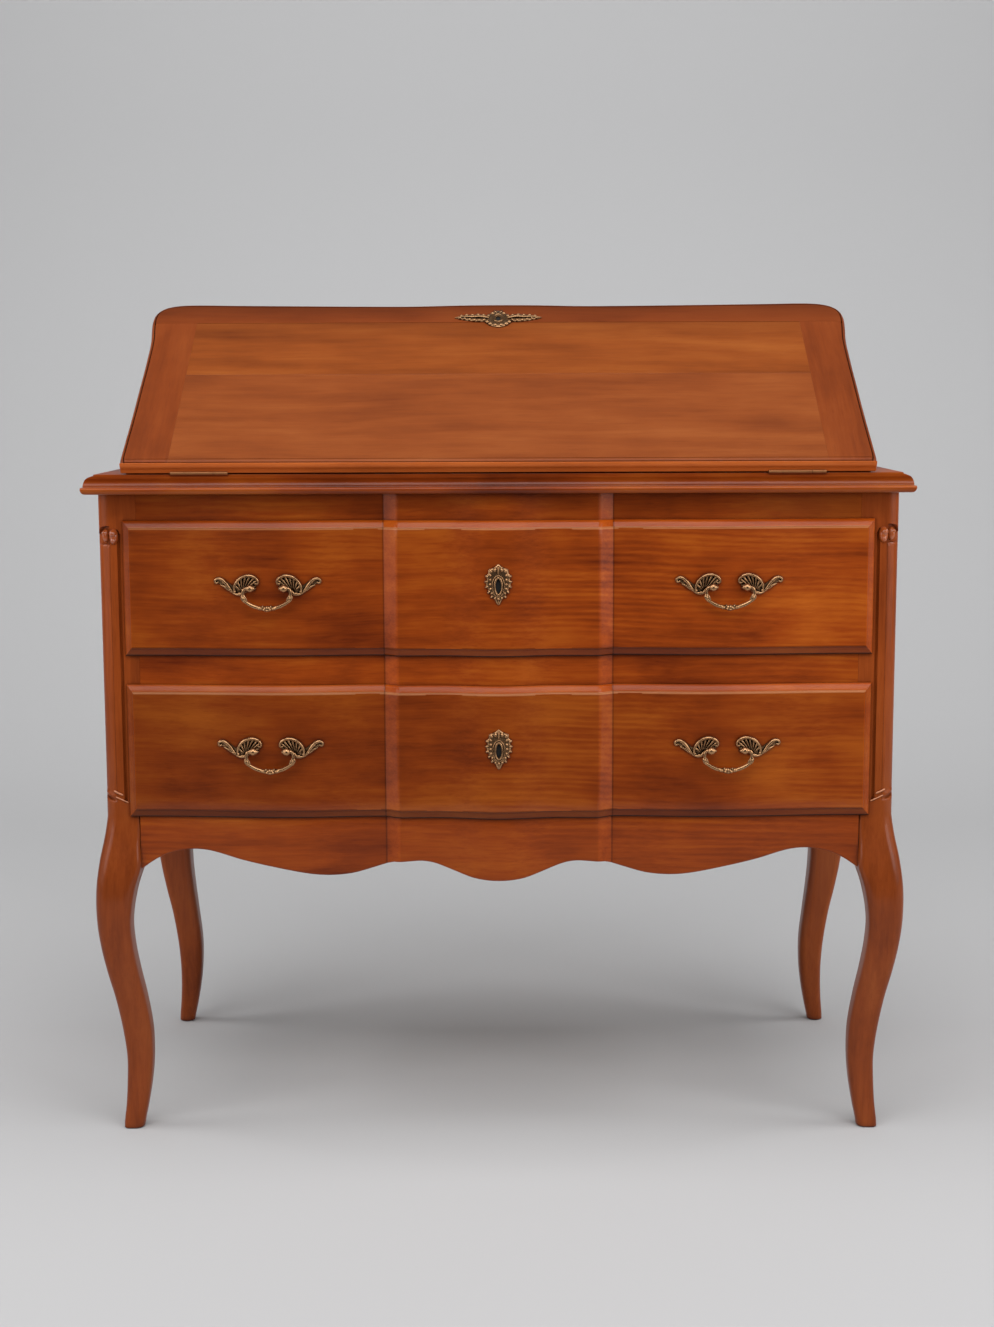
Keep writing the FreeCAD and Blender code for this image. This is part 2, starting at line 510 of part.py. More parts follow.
# ---------------------------------------------------------------- long drawers
def drawer(z0, z1, lip0, lip1, hz):
    lip = front_ribbon(LIP_X, 0.4, LIP_T, lip0, lip1)
    field = front_ribbon(FIELD_X, LIP_T - 0.5, FIELD_T, lip0 + 9.0, lip1 - 8.0)
    inner = front_slab(413.0, 0.4 + 0.2, FRONT_BACK, z0 + 1.3, z1 - 1.3)
    front = fuse([lip, field, inner])
    sz0, sz1 = z0 + 1.3, z1 - 12.0
    side = box(401.0, 413.0, FRONT_BACK, 196.0, sz0, sz1)
    # half-blind dovetails
    n = 3
    pitch = (sz1 - sz0) / n
    tails = []
    for i in range(n):
        zc = sz0 + pitch * (i + 0.5)
        a, b = pitch * 0.26, pitch * 0.36
        tails.append(prism([(401.0, FRONT_BACK + 0.5, zc - a), (401.0, FRONT_BACK + 0.5, zc + a), (401.0, FRONT_BACK - 12.0, zc + b),
                            (401.0, FRONT_BACK - 12.0, zc - b)], (12.0, 0, 0)))
    side = fuse([side] + tails)
    bz = z0 + 8.0
    bottom = box(-406.0, 406.0, FRONT_BACK - 6.0, 196.0, bz, bz + 7.0)
    back = box(-401.0, 401.0, 183.0, 195.0, bz + 7.0, sz1 - 8.0)
    side = side.cut(bottom)
    lock = fuse([box(-30.0, 30.0, FRONT_BACK, FRONT_BACK + 11.0, z1 - 48.0, z1 - 6.0),
                 box(-38.0, 38.0, FRONT_BACK, FRONT_BACK + 2.0, z1 - 50.0, z1 - 4.0)])
    front = cut(front, [side, mx(side), bottom])
    ke_z = 0.5 * (lip0 + lip1) + 6.0
    key = box(-2.0, 2.0, -300.0, FRONT_BACK + 6.0, ke_z - 8.0, ke_z + 3.0)
    front = solid_of(front.cut(key))
    lock = solid_of(lock.cut(key))
    # escutcheon: a leafy plate that follows the front
    eh = [(0.0, 22.5), (4.0, 19.0), (9.0, 17.5), (12.0, 12.0), (10.0, 8.5), (14.5, 5.0), (13.0, -1.0), (10.5, -4.0), (12.0, -9.0), (8.0, -14.0),
          (4.0, -16.0), (2.5, -20.0), (0.0, -22.0)]
    eo = eh + [(-x, z) for x, z in eh[-2:0:-1]]
    esc = front_ribbon(FIELD_X, FIELD_T, FIELD_T + 2.0, ke_z - 30.0, ke_z + 30.0).common(
        prism([(x, -300.0, ke_z + z) for x, z in eo], (0, 120.0, 0)))
    esc = solid_of(esc.cut(box(-1.8, 1.8, -300.0, -100.0, ke_z - 8.0, ke_z + 3.0)))
    # handle plates with ears, and bails
    plates, bails = [], []
    for c in (-HAND_X, HAND_X):
        yf = POST_YF - bowf(c) - FIELD_T
        ya = yf - BAIL_OUT
        za = hz + AXIS_DZ
        po = [(60.0, 2.0), (48.0, 7.5), (38.0, 5.0), (31.0, 9.0), (20.0, 10.5), (11.0, 6.0), (10.0, 0.0), (14.0, -8.0), (22.0, -11.0),
              (34.0, -10.5), (41.0, -6.0), (50.0, -4.0)]
        for sgn in (-1, 1):
            pl = front_ribbon(FIELD_X, FIELD_T, FIELD_T + 2.0, hz - 20.0, hz + 20.0).common(
                prism([(c + sgn * x, -300.0, hz + z) for x, z in po], (0, 120.0, 0)))
            ex = c + sgn * EAR_X
            ear = fuse([cyl(3.2, (ex, yf - 1.0, za), (0, -1, 0), BAIL_OUT - 1.0), cyl(4.2, (ex - 3.2, ya, za), (1, 0, 0), 6.4)])
            ear = ear.cut(front_slab(FIELD_X, FIELD_T + 0.01, -150.0, hz - 20.0, hz + 20.0))
            s = fuse([pl, ear]).cut(cyl(BAIL_R + 0.05, (ex - 6.0, ya, za), (1, 0, 0), 12.0))
            plates.append(solid_of(s))
        # bail: a bent rod of straight runs and arcs, its ends turned in through the ears
        def q(x, z):
            return V(c + x, ya, za + z)

        def arc(cx, cz, r, a0, a1):
            # arc about (cx, cz), angles in degrees from +x
            p = [q(cx + r * math.cos(math.radians(t)), cz + r * math.sin(math.radians(t))) for t in (a0, 0.5 * (a0 + a1), a1)]
            return Part.Arc(*p).toShape()

        r, x_in = BEND_R, EAR_X - 4.2
        rc = (SIDE_R, BAIL_X - SIDE_R, -BAIL_LEG)
        # the long lower arc is tangent to both side arcs and passes through the lowest point
        d = BAIL_DROP - BAIL_LEG
        big = ((BAIL_X - SIDE_R) ** 2 + d * d - SIDE_R ** 2) / (2.0 * (d - SIDE_R))
        phi = math.degrees(math.asin((BAIL_X - SIDE_R) / (big - SIDE_R)))
        path = [Part.makeLine(q(-x_in, 0), q(-BAIL_X + r, 0)), arc(-BAIL_X + r, -r, r, 90, 180),
                Part.makeLine(q(-BAIL_X, -r), q(-BAIL_X, -BAIL_LEG)), arc(-rc[1], rc[2], SIDE_R, 180, 270 - phi),
                arc(0, -BAIL_DROP + big, big, 270 - phi, 270 + phi),
                arc(rc[1], rc[2], SIDE_R, 270 + phi, 360), Part.makeLine(q(BAIL_X, -BAIL_LEG), q(BAIL_X, -r)),
                arc(BAIL_X - r, -r, r, 0, 90), Part.makeLine(q(BAIL_X - r, 0), q(x_in, 0))]
        prof = Part.Wire([Part.Circle(q(-x_in, 0), V(-1, 0, 0), BAIL_R).toShape()])
        bails.append(solid_of(Part.Wire(path).makePipeShell([prof], True, False)))
    return front, [side, mx(side)], back, bottom, lock, esc, plates, bails


up = drawer(UP_Z0, UP_Z1, 576.0, 732.5, HAND_Z[0])
lo = drawer(LO_Z0, LO_Z1, 386.0, 542.0, HAND_Z[1])

# ---------------------------------------------------------------- write the pieces
save("front_right_leg", fl)
save("front_left_leg", mx(fl))
save("rear_right_leg", rl)
save("rear_left_leg", mx(rl))
save("front_top_rail", top_rail)
save("front_middle_rail", mid_rail)
save("front_apron", apron)
save("right_side_panel", side_panel)
save("left_side_panel", mx(side_panel))
save("right_side_apron", side_apron)
save("left_side_apron", mx(side_apron))
save("lower_back_panel", back_panel)
save("rear_apron", rear_apron)
save("drawer_runners", runners)
save("desk_board", board)
save("upper_right_side", uc_side)
save("upper_left_side", mx(uc_side))
save("top_board", top_board)
save("upper_back_panel", uc_back)
save("fitment_shelf", shelf)
save("drawer_partitions", parts_low)
save("pigeonhole_partitions", parts_up)
save("case_hinge_leaves", case_leaves)
save("hinge_pins", pins)
save("stay_brackets", [bracket, mx(bracket)])
save("fall_lower_board", f_lower)
save("fall_upper_board", f_upper)
save("fall_top_rail", f_top)
save("fall_left_stile", f_left)
save("fall_right_stile", mx(f_left))
save("fall_escutcheon", f_esc)
save("fall_lock", f_lock)
save("fall_hinge_leaves", fall_leaves)
save("fall_stay_lugs", [lug, mx(lug)])
save("right_stay_rear_arm", rear_arm)
save("left_stay_rear_arm", mx(rear_arm))
save("right_stay_front_arm", front_arm)
save("left_stay_front_arm", mx(front_arm))
save("small_left_drawer", sd_left)
save("small_middle_drawer", sd_mid)
save("small_right_drawer", sd_right)
for nm, d in (("upper", up), ("lower", lo)):
    save(nm + "_drawer_front", d[0])
    save(nm + "_drawer_sides", d[1])
    save(nm + "_drawer_back", d[2])
    save(nm + "_drawer_bottom", d[3])
    save(nm + "_drawer_lock", d[4])
    save(nm + "_drawer_escutcheon", d[5])
    save(nm + "_handle_plates", d[6])
    save(nm + "_left_bail", d[7][0])
    save(nm + "_right_bail", d[7][1])
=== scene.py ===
import math

import bmesh
import bpy
from mathutils import Matrix, Vector


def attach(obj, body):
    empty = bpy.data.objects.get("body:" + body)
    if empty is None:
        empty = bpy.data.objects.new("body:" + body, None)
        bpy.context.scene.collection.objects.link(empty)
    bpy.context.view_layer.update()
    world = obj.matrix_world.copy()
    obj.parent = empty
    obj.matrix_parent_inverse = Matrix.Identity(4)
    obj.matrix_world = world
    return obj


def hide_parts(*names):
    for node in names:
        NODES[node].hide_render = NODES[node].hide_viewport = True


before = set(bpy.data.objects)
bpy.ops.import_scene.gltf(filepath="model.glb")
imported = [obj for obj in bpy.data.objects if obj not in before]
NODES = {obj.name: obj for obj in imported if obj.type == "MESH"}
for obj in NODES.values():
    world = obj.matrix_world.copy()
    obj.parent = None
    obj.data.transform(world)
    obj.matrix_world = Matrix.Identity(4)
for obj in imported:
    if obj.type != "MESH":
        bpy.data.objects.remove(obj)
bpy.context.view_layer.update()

MM = 0.001

# ------------------------------------------------------------------ sizes shared with the frame (mm)
NOSE_X, NOSE_Y, BOARD_BACK = 471.0, -240.0, 236.0
BOARD_Z0, BOARD_Z1 = 763.7, 786.0
POST_X0, POST_X1, POST_YF, POST_D = 415.0, 460.0, -198.0, 45.0
REAR_YB = 232.0
STEP_X0, STEP_X1 = 131.5, 116.0
BOW, STEP_LOW, STEP_HIGH, DIP, CENTRE = 10.0, 3.5, 14.0, 12.5, 22.0
BOW_X, DIP_X = 240.0, 72.0
RAIL_BACK, FRONT_BACK = -168.0, -174.0
LIP_X, FIELD_T = 432.0, 9.0
SLOPE, AX_Y, AX_Z = 33.0, -224.0, 787.0
FALL_T, FALL_L, FALL_X = 15.0, 340.0, 429.3
STILE_X, JOINT_S, RAIL_S = 373.0, 181.0, 298.0
HAND_X, HAND_Z = 264.0, (660.0, 471.0)
EAR_X, AXIS_DZ, BAIL_X, BAIL_OUT, BAIL_DROP, BAIL_R = 19.4, -4.0, 27.0, 11.5, 23.2, 1.9
CS, SN = math.cos(math.radians(SLOPE)), math.sin(math.radians(SLOPE))


def ease(a, b, t):
    return a + (b - a) * (1 - math.cos(math.pi * max(0.0, min(1.0, t)))) / 2


def plan(x):
    a = abs(x)
    if a >= POST_X0:
        return 0.0
    if a >= BOW_X:
        return ease(0.0, BOW, (POST_X0 - a) / (POST_X0 - BOW_X))
    if a >= STEP_X0:
        return ease(BOW, STEP_LOW, (BOW_X - a) / (BOW_X - STEP_X0))
    if a >= STEP_X1:
        return STEP_LOW + (STEP_HIGH - STEP_LOW) * (STEP_X0 - a) / (STEP_X0 - STEP_X1)
    if a >= DIP_X:
        return ease(STEP_HIGH, DIP, (STEP_X1 - a) / (STEP_X1 - DIP_X))
    return ease(DIP, CENTRE, (DIP_X - a) / DIP_X)


def bowf(x):
    # the stepped and bowed plan, its outer step corner a little softened
    a = abs(x)
    w = 4.0
    if abs(a - STEP_X1) < w:
        t = (a - STEP_X1 + w) / (2 * w)
        p0, p1, p2 = plan(STEP_X1 - w), plan(STEP_X1), plan(STEP_X1 + w)
        return (1 - t) ** 2 * p0 + 2 * t * (1 - t) * p1 + t * t * p2
    return plan(x)


def plan_stations(xe):
    # x places along the front, close together where the plan turns
    half = [0.0]
    while half[-1] < STEP_X1 - 8:
        half.append(half[-1] + 6.0)
    half = [x for x in half if x < STEP_X1 - 5.5]
    half += [STEP_X1 + d for d in (-4, -3, -2, -1, 0, 1, 2, 3, 4)] + [STEP_X1 + 8.0, STEP_X0 - 0.6, STEP_X0, STEP_X0 + 0.6]
    x = STEP_X0 + 6.0
    while x < xe - 4.0:
        half.append(x)
        x += 7.0
    half = [x for x in half if x < xe - 0.5] + [xe]
    return [-x for x in half[:0:-1]] + half


def catmull(points, per):
    # smooth run through rows of numbers
    out = []
    n = len(points)
    for i in range(n - 1):
        p0, p1, p2, p3 = points[max(0, i - 1)], points[i], points[i + 1], points[min(n - 1, i + 2)]
        for k in range(per):
            t = k / per
            out.append(tuple(0.5 * (2 * b + (c - a) * t + (2 * a - 5 * b + 4 * c - d) * t * t + (3 * b - a - 3 * c + d) * t ** 3)
                             for a, b, c, d in zip(p0, p1, p2, p3)))
    out.append(tuple(points[-1]))
    return out


def table_at(rows, t):
    # smooth look-up in rows (t, value, value...) with rising t
    n = len(rows)
    if t <= rows[0][0]:
        return rows[0][1:]
    if t >= rows[-1][0]:
        return rows[-1][1:]
    for i in range(n - 1):
        if rows[i][0] <= t <= rows[i + 1][0]:
            break
    t0, t1 = rows[i][0], rows[i + 1][0]
    h = t1 - t0
    u = (t - t0) / h
    res = []
    for k in range(1, len(rows[0])):
        v0, v1 = rows[i][k], rows[i + 1][k]
        m0 = (rows[i + 1][k] - rows[i - 1][k]) / (rows[i + 1][0] - rows[i - 1][0]) if i > 0 else (v1 - v0) / h
        m1 = (rows[i + 2][k] - rows[i][k]) / (rows[i + 2][0] - rows[i][0]) if i < n - 2 else (v1 - v0) / h
        res.append((2 * u ** 3 - 3 * u * u + 1) * v0 + (u ** 3 - 2 * u * u + u) * h * m0
                   + (-2 * u ** 3 + 3 * u * u) * v1 + (u ** 3 - u * u) * h * m1)
    return tuple(res)


def fall_pt(x, s, n):
    return (x, AX_Y + s * CS - n * SN, AX_Z + s * SN + n * CS)


def front_pt(x, z, n):
    return (x, POST_YF - bowf(x) - FIELD_T - n, z)


# ------------------------------------------------------------------ mesh helpers
class Shape:
    def __init__(self):
        self.v, self.f = [], []

    def add(self, verts, faces):
        k = len(self.v)
        self.v += [tuple(p) for p in verts]
        self.f += [tuple(i + k for i in f) for f in faces]

    def mirrored(self):
        s = Shape()
        s.v = [(-x, y, z) for x, y, z in self.v]
        s.f = [f[::-1] for f in self.f]
        return s

    def join(self, other):
        self.add(other.v, other.f)
        return self


def loft(rings, closed=True, cap0=True, cap1=True):
    s = Shape()
    n = len(rings[0])
    v = [p for r in rings for p in r]
    f = []
    for i in range(len(rings) - 1):
        for j in range(n if closed else n - 1):
            a, b = i * n + j, i * n + (j + 1) % n
            f.append((a, b, b + n, a + n))
    if cap0:
        f.append(tuple(range(n))[::-1])
    if cap1:
        f.append(tuple(range((len(rings) - 1) * n, len(rings) * n)))
    s.add(v, f)
    return s


def tube(pts, rad, up=(0, -1, 0), seg=10, flat=1.0, round_ends=True):
    # rod along points, its radius given at each; flat squeezes it along up
    P = [Vector(p) for p in pts]
    up = Vector(up)
    rings = []
    n = len(P)
    for i in range(n):
        t = (P[min(n - 1, i + 1)] - P[max(0, i - 1)]).normalized()
        b = t.cross(up)
        if b.length < 1e-6:
            b = t.orthogonal()
        b.normalize()
        m = b.cross(t).normalized()
        ring = []
        for k in range(seg):
            a = 2 * math.pi * k / seg
            ring.append(P[i] + b * (rad[i] * math.cos(a)) + m * (rad[i] * flat * math.sin(a)))
        rings.append(ring)
        if round_ends and i in (0, n - 1):
            d = -t if i == 0 else t
            extra = []
            for q, w in ((0.5, 0.86), (0.85, 0.5), (0.98, 0.15)):
                extra.append([P[i] + d * (rad[i] * q * min(1.0, flat)) + (c - P[i]) * w for c in ring])
            if i == 0:
                rings = extra[::-1] + rings
            else:
                rings += extra
    return loft([[tuple(c) for c in r] for r in rings])


def dome(centre, ax, ay, az, nu=14, nv=8, low=-0.35):
    # rounded lump: ax, ay lie in the surface, az points out of it
    C, A, B, D = Vector(centre), Vector(ax), Vector(ay), Vector(az)
    rings = []
    t0 = math.asin(low)
    for j in range(nv):
        t = t0 + (math.radians(84) - t0) * j / (nv - 1)
        rings.append([tuple(C + A * (math.cos(t) * math.cos(2 * math.pi * i / nu)) + B * (math.cos(t) * math.sin(2 * math.pi * i / nu)) + D * math.sin(t)) for i in range(nu)])
    return loft(rings)


def make(name, shape, mat, body, nodes=(), angle=38.0):
    me = bpy.data.meshes.new(name)
    me.from_pydata([(x * MM, y * MM, z * MM) for x, y, z in shape.v], [], shape.f)
    me.update()
    bm = bmesh.new()
    bm.from_mesh(me)
    bmesh.ops.remove_doubles(bm, verts=bm.verts, dist=2e-6)
    bmesh.ops.recalc_face_normals(bm, faces=bm.faces)
    bm.to_mesh(me)
    bm.free()
    me.polygons.foreach_set("use_smooth", [True] * len(me.polygons))
    me.set_sharp_from_angle(angle=math.radians(angle))
    me.materials.append(mat)
    ob = bpy.data.objects.new(name, me)
    bpy.context.scene.collection.objects.link(ob)
    if nodes:
        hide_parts(*nodes)
    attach(ob, body)
    return ob


# ------------------------------------------------------------------ materials
def shader(name):
    m = bpy.data.materials.new(name)
    m.use_nodes = True
    nt = m.node_tree
    nt.nodes.clear()
    out = nt.nodes.new("ShaderNodeOutputMaterial")
    b = nt.nodes.new("ShaderNodeBsdfPrincipled")
    nt.links.new(b.outputs["BSDF"], out.inputs["Surface"])
    return m, nt, b


def put(nt, kind, **values):
    n = nt.nodes.new(kind)
    for k, v in values.items():
        setattr(n, k, v)
    return n


def noise(nt, vec, scale, detail, rough=0.55, distortion=0.0):
    n = put(nt, "ShaderNodeTexNoise")
    n.inputs["Scale"].default_value = scale
    n.inputs["Detail"].default_value = detail
    n.inputs["Roughness"].default_value = rough
    n.inputs["Distortion"].default_value = distortion
    nt.links.new(vec, n.inputs["Vector"])
    return n.outputs["Fac"]


def mapped(nt, vec, loc, rot, scale):
    n = put(nt, "ShaderNodeMapping")
    n.inputs["Location"].default_value = loc
    n.inputs["Rotation"].default_value = rot
    n.inputs["Scale"].default_value = scale
    nt.links.new(vec, n.inputs["Vector"])
    return n.outputs["Vector"]


def ramp(nt, fac, stops, mode="EASE"):
    n = put(nt, "ShaderNodeValToRGB")
    n.color_ramp.interpolation = mode
    e = n.color_ramp.elements
    while len(e) < len(stops):
        e.new(0.5)
    for el, (p, c) in zip(e, stops):
        el.position = p
        el.color = (c[0], c[1], c[2], 1.0)
    nt.links.new(fac, n.inputs["Fac"])
    return n.outputs["Color"]


def calc(nt, op, a, b=None, c=None):
    n = put(nt, "ShaderNodeMath", operation=op)
    for k, v in enumerate((a, b, c)):
        if v is None:
            continue
        if isinstance(v, (int, float)):
            n.inputs[k].default_value = v
        else:
            nt.links.new(v, n.inputs[k])
    return n.outputs[0]


def blend(nt, kind, fac, a, b):
    n = put(nt, "ShaderNodeMix", data_type="RGBA", blend_type=kind)
    n.clamp_factor = True
    for sock, v in ((n.inputs[0], fac), (n.inputs[6], a), (n.inputs[7], b)):
        if isinstance(v, (int, float)):
            sock.default_value = v
        elif isinstance(v, tuple):
            sock.default_value = (v[0], v[1], v[2], 1.0)
        else:
            nt.links.new(v, sock)
    return n.outputs[2]


def tint(c, k):
    return tuple(min(1.0, v * k) for v in c)


DARK, MID, LIGHT = (0.120, 0.0150, 0.0010), (0.290, 0.0470, 0.0028), (0.440, 0.1000, 0.0075)


def wood(name, grain, seed, tone=1.0, colours=(DARK, MID, LIGHT), contrast=1.0, lines=0.08, rough=0.36, coat=0.40, wax_and_shade=True, figure=1.0, spec=0.12, drift=0.0, gloss=0.12, wander=0.022, cloud=1.05, light_with_height=0.0, wear_and_sheen=0.0, reach=0.009, shade_to_top=None):
    m, nt, b = shader(name)
    tc = put(nt, "ShaderNodeTexCoord").outputs["Object"]
    # turned so that the grain runs along x
    v = tc
    if grain in ("slope", "fall"):
        v = mapped(nt, v, (0, 0, 0), (math.radians(-SLOPE), 0.0, 0.0), (1, 1, 1))
    turn = {"x": (0.0, 0.0, 0.0), "fall": (0.0, 0.0, 0.0), "z": (0.0, math.radians(90), 0.0), "y": (0.0, 0.0, math.radians(90)),
            "slope": (0.0, 0.0, math.radians(90))}[grain]
    v = mapped(nt, v, (seed * 0.37, seed * 0.53, seed * 0.29), turn, (1, 1, 1))
    # slow wander of the grain
    wob = put(nt, "ShaderNodeTexNoise")
    wob.inputs["Scale"].default_value = 1.0
    wob.inputs["Detail"].default_value = 2.5
    nt.links.new(mapped(nt, v, (3.1, 1.7, 0.4), (0, 0, 0), (3.2, 7.0, 7.0)), wob.inputs["Vector"])
    sub = put(nt, "ShaderNodeVectorMath", operation="SUBTRACT")
    nt.links.new(wob.outputs["Color"], sub.inputs[0])
    sub.inputs[1].default_value = (0.5, 0.5, 0.5)
    mul = put(nt, "ShaderNodeVectorMath", operation="MULTIPLY")
    nt.links.new(sub.outputs[0], mul.inputs[0])
    mul.inputs[1].default_value = (0.0, wander, wander)
    add = put(nt, "ShaderNodeVectorMath", operation="ADD")
    nt.links.new(v, add.inputs[0])
    nt.links.new(mul.outputs[0], add.inputs[1])
    g = add.outputs[0]
    # streaks, growth lines that come and go, fibres, cloudy figure
    streak = noise(nt, mapped(nt, g, (0, 0, 0), (0, 0, 0), (4.0 * figure, 44.0, 44.0)), 1.0, 6.0, 0.66)
    wave = put(nt, "ShaderNodeTexWave", wave_type="BANDS", bands_direction="DIAGONAL", wave_profile="SIN")
    wave.inputs["Scale"].default_value = 86.0
    wave.inputs["Distortion"].default_value = 6.0
    wave.inputs["Detail"].default_value = 3.0
    wave.inputs["Detail Scale"].default_value = 0.32
    wave.inputs["Detail Roughness"].default_value = 0.6
    nt.links.new(mapped(nt, g, (0, 0, 0), (0, 0, 0), (0.02, 0.12, 1.0)), wave.inputs["Vector"])
    where = noise(nt, mapped(nt, v, (1.3, 4.1, 2.2), (0, 0, 0), (3.0, 7.0, 7.0)), 1.0, 2.0, 0.5)
    where = ramp(nt, where, [(0.44, (0.10, 0.10, 0.10)), (0.66, (1, 1, 1))], "EASE")
    fibre = noise(nt, mapped(nt, g, (0, 0, 0), (0, 0, 0), (11.0, 520.0, 520.0)), 1.0, 3.0, 0.6)
    slow = noise(nt, mapped(nt, v, (5.0, 2.0, 1.0), (0, 0, 0), (5.5, 9.0, 9.0)), 1.0, 4.0, 0.55)
    f = calc(nt, "MULTIPLY", calc(nt, "SUBTRACT", streak, 0.5), 0.82)
    f = calc(nt, "MULTIPLY_ADD", calc(nt, "MULTIPLY", calc(nt, "SUBTRACT", wave.outputs["Fac"], 0.5), where), lines, f)
    f = calc(nt, "MULTIPLY_ADD", calc(nt, "SUBTRACT", fibre, 0.5), 0.24, f)
    f = calc(nt, "MULTIPLY_ADD", calc(nt, "SUBTRACT", slow, 0.5), cloud, f)
    f = calc(nt, "MULTIPLY_ADD", f, 1.25 * contrast, 0.5)
    col = ramp(nt, f, [(0.10, tint(colours[0], tone)), (0.5, tint(colours[1], tone)), (0.90, tint(colours[2], tone))], "LINEAR")
    # short dark pores
    pore = noise(nt, mapped(nt, g, (0.3, 0.7, 0.1), (0, 0, 0), (34.0, 800.0, 800.0)), 1.0, 1.0, 0.5)
    pore = ramp(nt, pore, [(0.60, (0, 0, 0)), (0.76, (1, 1, 1))], "LINEAR")
    col = blend(nt, "MULTIPLY", calc(nt, "MULTIPLY", pore, 0.25), col, (0.45, 0.32, 0.25))
    if wax_and_shade:
        # painted shade: colour darkened by ambient occlusion in corners, recesses and under overhangs, standing for the
        # shade there as well as old wax
        ao = put(nt, "ShaderNodeAmbientOcclusion", samples=5)
        ao.inputs["Distance"].default_value = reach
        near = ramp(nt, ao.outputs["AO"], [(0.34, (1, 1, 1)), (0.84, (0, 0, 0))], "LINEAR")
        col = blend(nt, "MULTIPLY", calc(nt, "MULTIPLY", near, 0.92), col, (0.15, 0.07, 0.05))
    if drift or light_with_height or wear_and_sheen or shade_to_top:
        # the tone drifts from one side to the other; it is lighter higher up, as painted light, or darker towards the
        # top edge, as painted shade; and the steps of the front are made lighter, for wear and painted sheen, with
        # painted shade in their inside corners
        sep = put(nt, "ShaderNodeSeparateXYZ")
        nt.links.new(tc, sep.inputs[0])
        k = calc(nt, "MULTIPLY_ADD", sep.outputs[0], drift / 0.43, 1.0)
        up = calc(nt, "MULTIPLY", calc(nt, "MAXIMUM", calc(nt, "SUBTRACT", sep.outputs[2], 0.36), 0.0), light_with_height / 0.40)
        k = calc(nt, "ADD", k, up)
        if shade_to_top:
            away = put(nt, "ShaderNodeMapRange")
            nt.links.new(sep.outputs[2], away.inputs["Value"])
            for key, val in zip(("From Min", "From Max", "To Min", "To Max"), shade_to_top):
                away.inputs[key].default_value = val
            k = calc(nt, "MULTIPLY", k, away.outputs["Result"])
        step = calc(nt, "DIVIDE", calc(nt, "SUBTRACT", calc(nt, "ABSOLUTE", sep.outputs[0]), 0.5 * MM * (STEP_X0 + STEP_X1)), 0.0092)
        step = calc(nt, "MAXIMUM", calc(nt, "SUBTRACT", 1.0, calc(nt, "POWER", calc(nt, "ABSOLUTE", step), 5.0)), 0.0)
        k = calc(nt, "MULTIPLY_ADD", step, wear_and_sheen, k)
        if wear_and_sheen:
            # painted shade: a dark line where each step turns inward
            crease_shade = calc(nt, "ABSOLUTE", calc(nt, "SUBTRACT", calc(nt, "ABSOLUTE", sep.outputs[0]), MM * (STEP_X0 + 0.5)))
            crease_shade = calc(nt, "MAXIMUM", calc(nt, "SUBTRACT", 1.0, calc(nt, "DIVIDE", crease_shade, 0.0014)), 0.0)
            k = calc(nt, "MULTIPLY", k, calc(nt, "MULTIPLY_ADD", crease_shade, -0.55, 1.0))
        scale = put(nt, "ShaderNodeVectorMath", operation="SCALE")
        nt.links.new(col, scale.inputs[0])
        nt.links.new(k, scale.inputs["Scale"])
        col = scale.outputs[0]
    nt.links.new(col, b.inputs["Base Color"])
    nt.links.new(calc(nt, "MULTIPLY_ADD", fibre, 0.16, rough - 0.08), b.inputs["Roughness"])
    b.inputs["Coat Weight"].default_value = coat
    b.inputs["Coat Roughness"].default_value = gloss
    b.inputs["Specular IOR Level"].default_value = spec
    bump = put(nt, "ShaderNodeBump")
    bump.inputs["Strength"].default_value = 0.08
    bump.inputs["Distance"].default_value = 0.0004
    nt.links.new(fibre, bump.inputs["Height"])
    nt.links.new(bump.outputs["Normal"], b.inputs["Normal"])
    return m


def metal(name, bright, dull, rough, reach, depth=0.9, grainy=260.0, mottle=0.9):
    m, nt, b = shader(name)
    tc = put(nt, "ShaderNodeTexCoord").outputs["Object"]
    ao = put(nt, "ShaderNodeAmbientOcclusion", samples=8)
    ao.inputs["Distance"].default_value = reach
    near = ramp(nt, ao.outputs["AO"], [(0.30, (1, 1, 1)), (0.86, (0, 0, 0))], "LINEAR")
    spots = noise(nt, mapped(nt, tc, (0, 0, 0), (0, 0, 0), (1, 1, 1)), grainy, 3.0, 0.6)
    age = calc(nt, "MULTIPLY_ADD", calc(nt, "SUBTRACT", spots, 0.5), mottle, calc(nt, "MULTIPLY", near, depth))
    age = calc(nt, "MINIMUM", calc(nt, "MAXIMUM", age, 0.0), 1.0)
    nt.links.new(blend(nt, "MIX", age, bright, dull), b.inputs["Base Color"])
    nt.links.new(calc(nt, "MULTIPLY_ADD", age, 0.25, rough), b.inputs["Roughness"])
    b.inputs["Metallic"].default_value = 1.0
    bump = put(nt, "ShaderNodeBump")
    bump.inputs["Strength"].default_value = 0.25
    bump.inputs["Distance"].default_value = 0.0003
    nt.links.new(spots, bump.inputs["Height"])
    nt.links.new(bump.outputs["Normal"], b.inputs["Normal"])
    return m


PALE = ((0.165, 0.0300, 0.0040), (0.300, 0.0670, 0.0110), (0.410, 0.1110, 0.0230))
AMBER = ((0.175, 0.0335, 0.0036), (0.325, 0.0720, 0.0092), (0.440, 0.1200, 0.0190))
RED = ((0.130, 0.0220, 0.0030), (0.258, 0.0490, 0.0070), (0.350, 0.0800, 0.0140))
# painted highlight colours for arrises and small lit beads
HIGHLIGHT_PALE = ((0.30, 0.090, 0.026), (0.48, 0.160, 0.055), (0.58, 0.215, 0.080))
DRY = ((0.200, 0.092, 0.036), (0.360, 0.185, 0.080), (0.500, 0.285, 0.138))
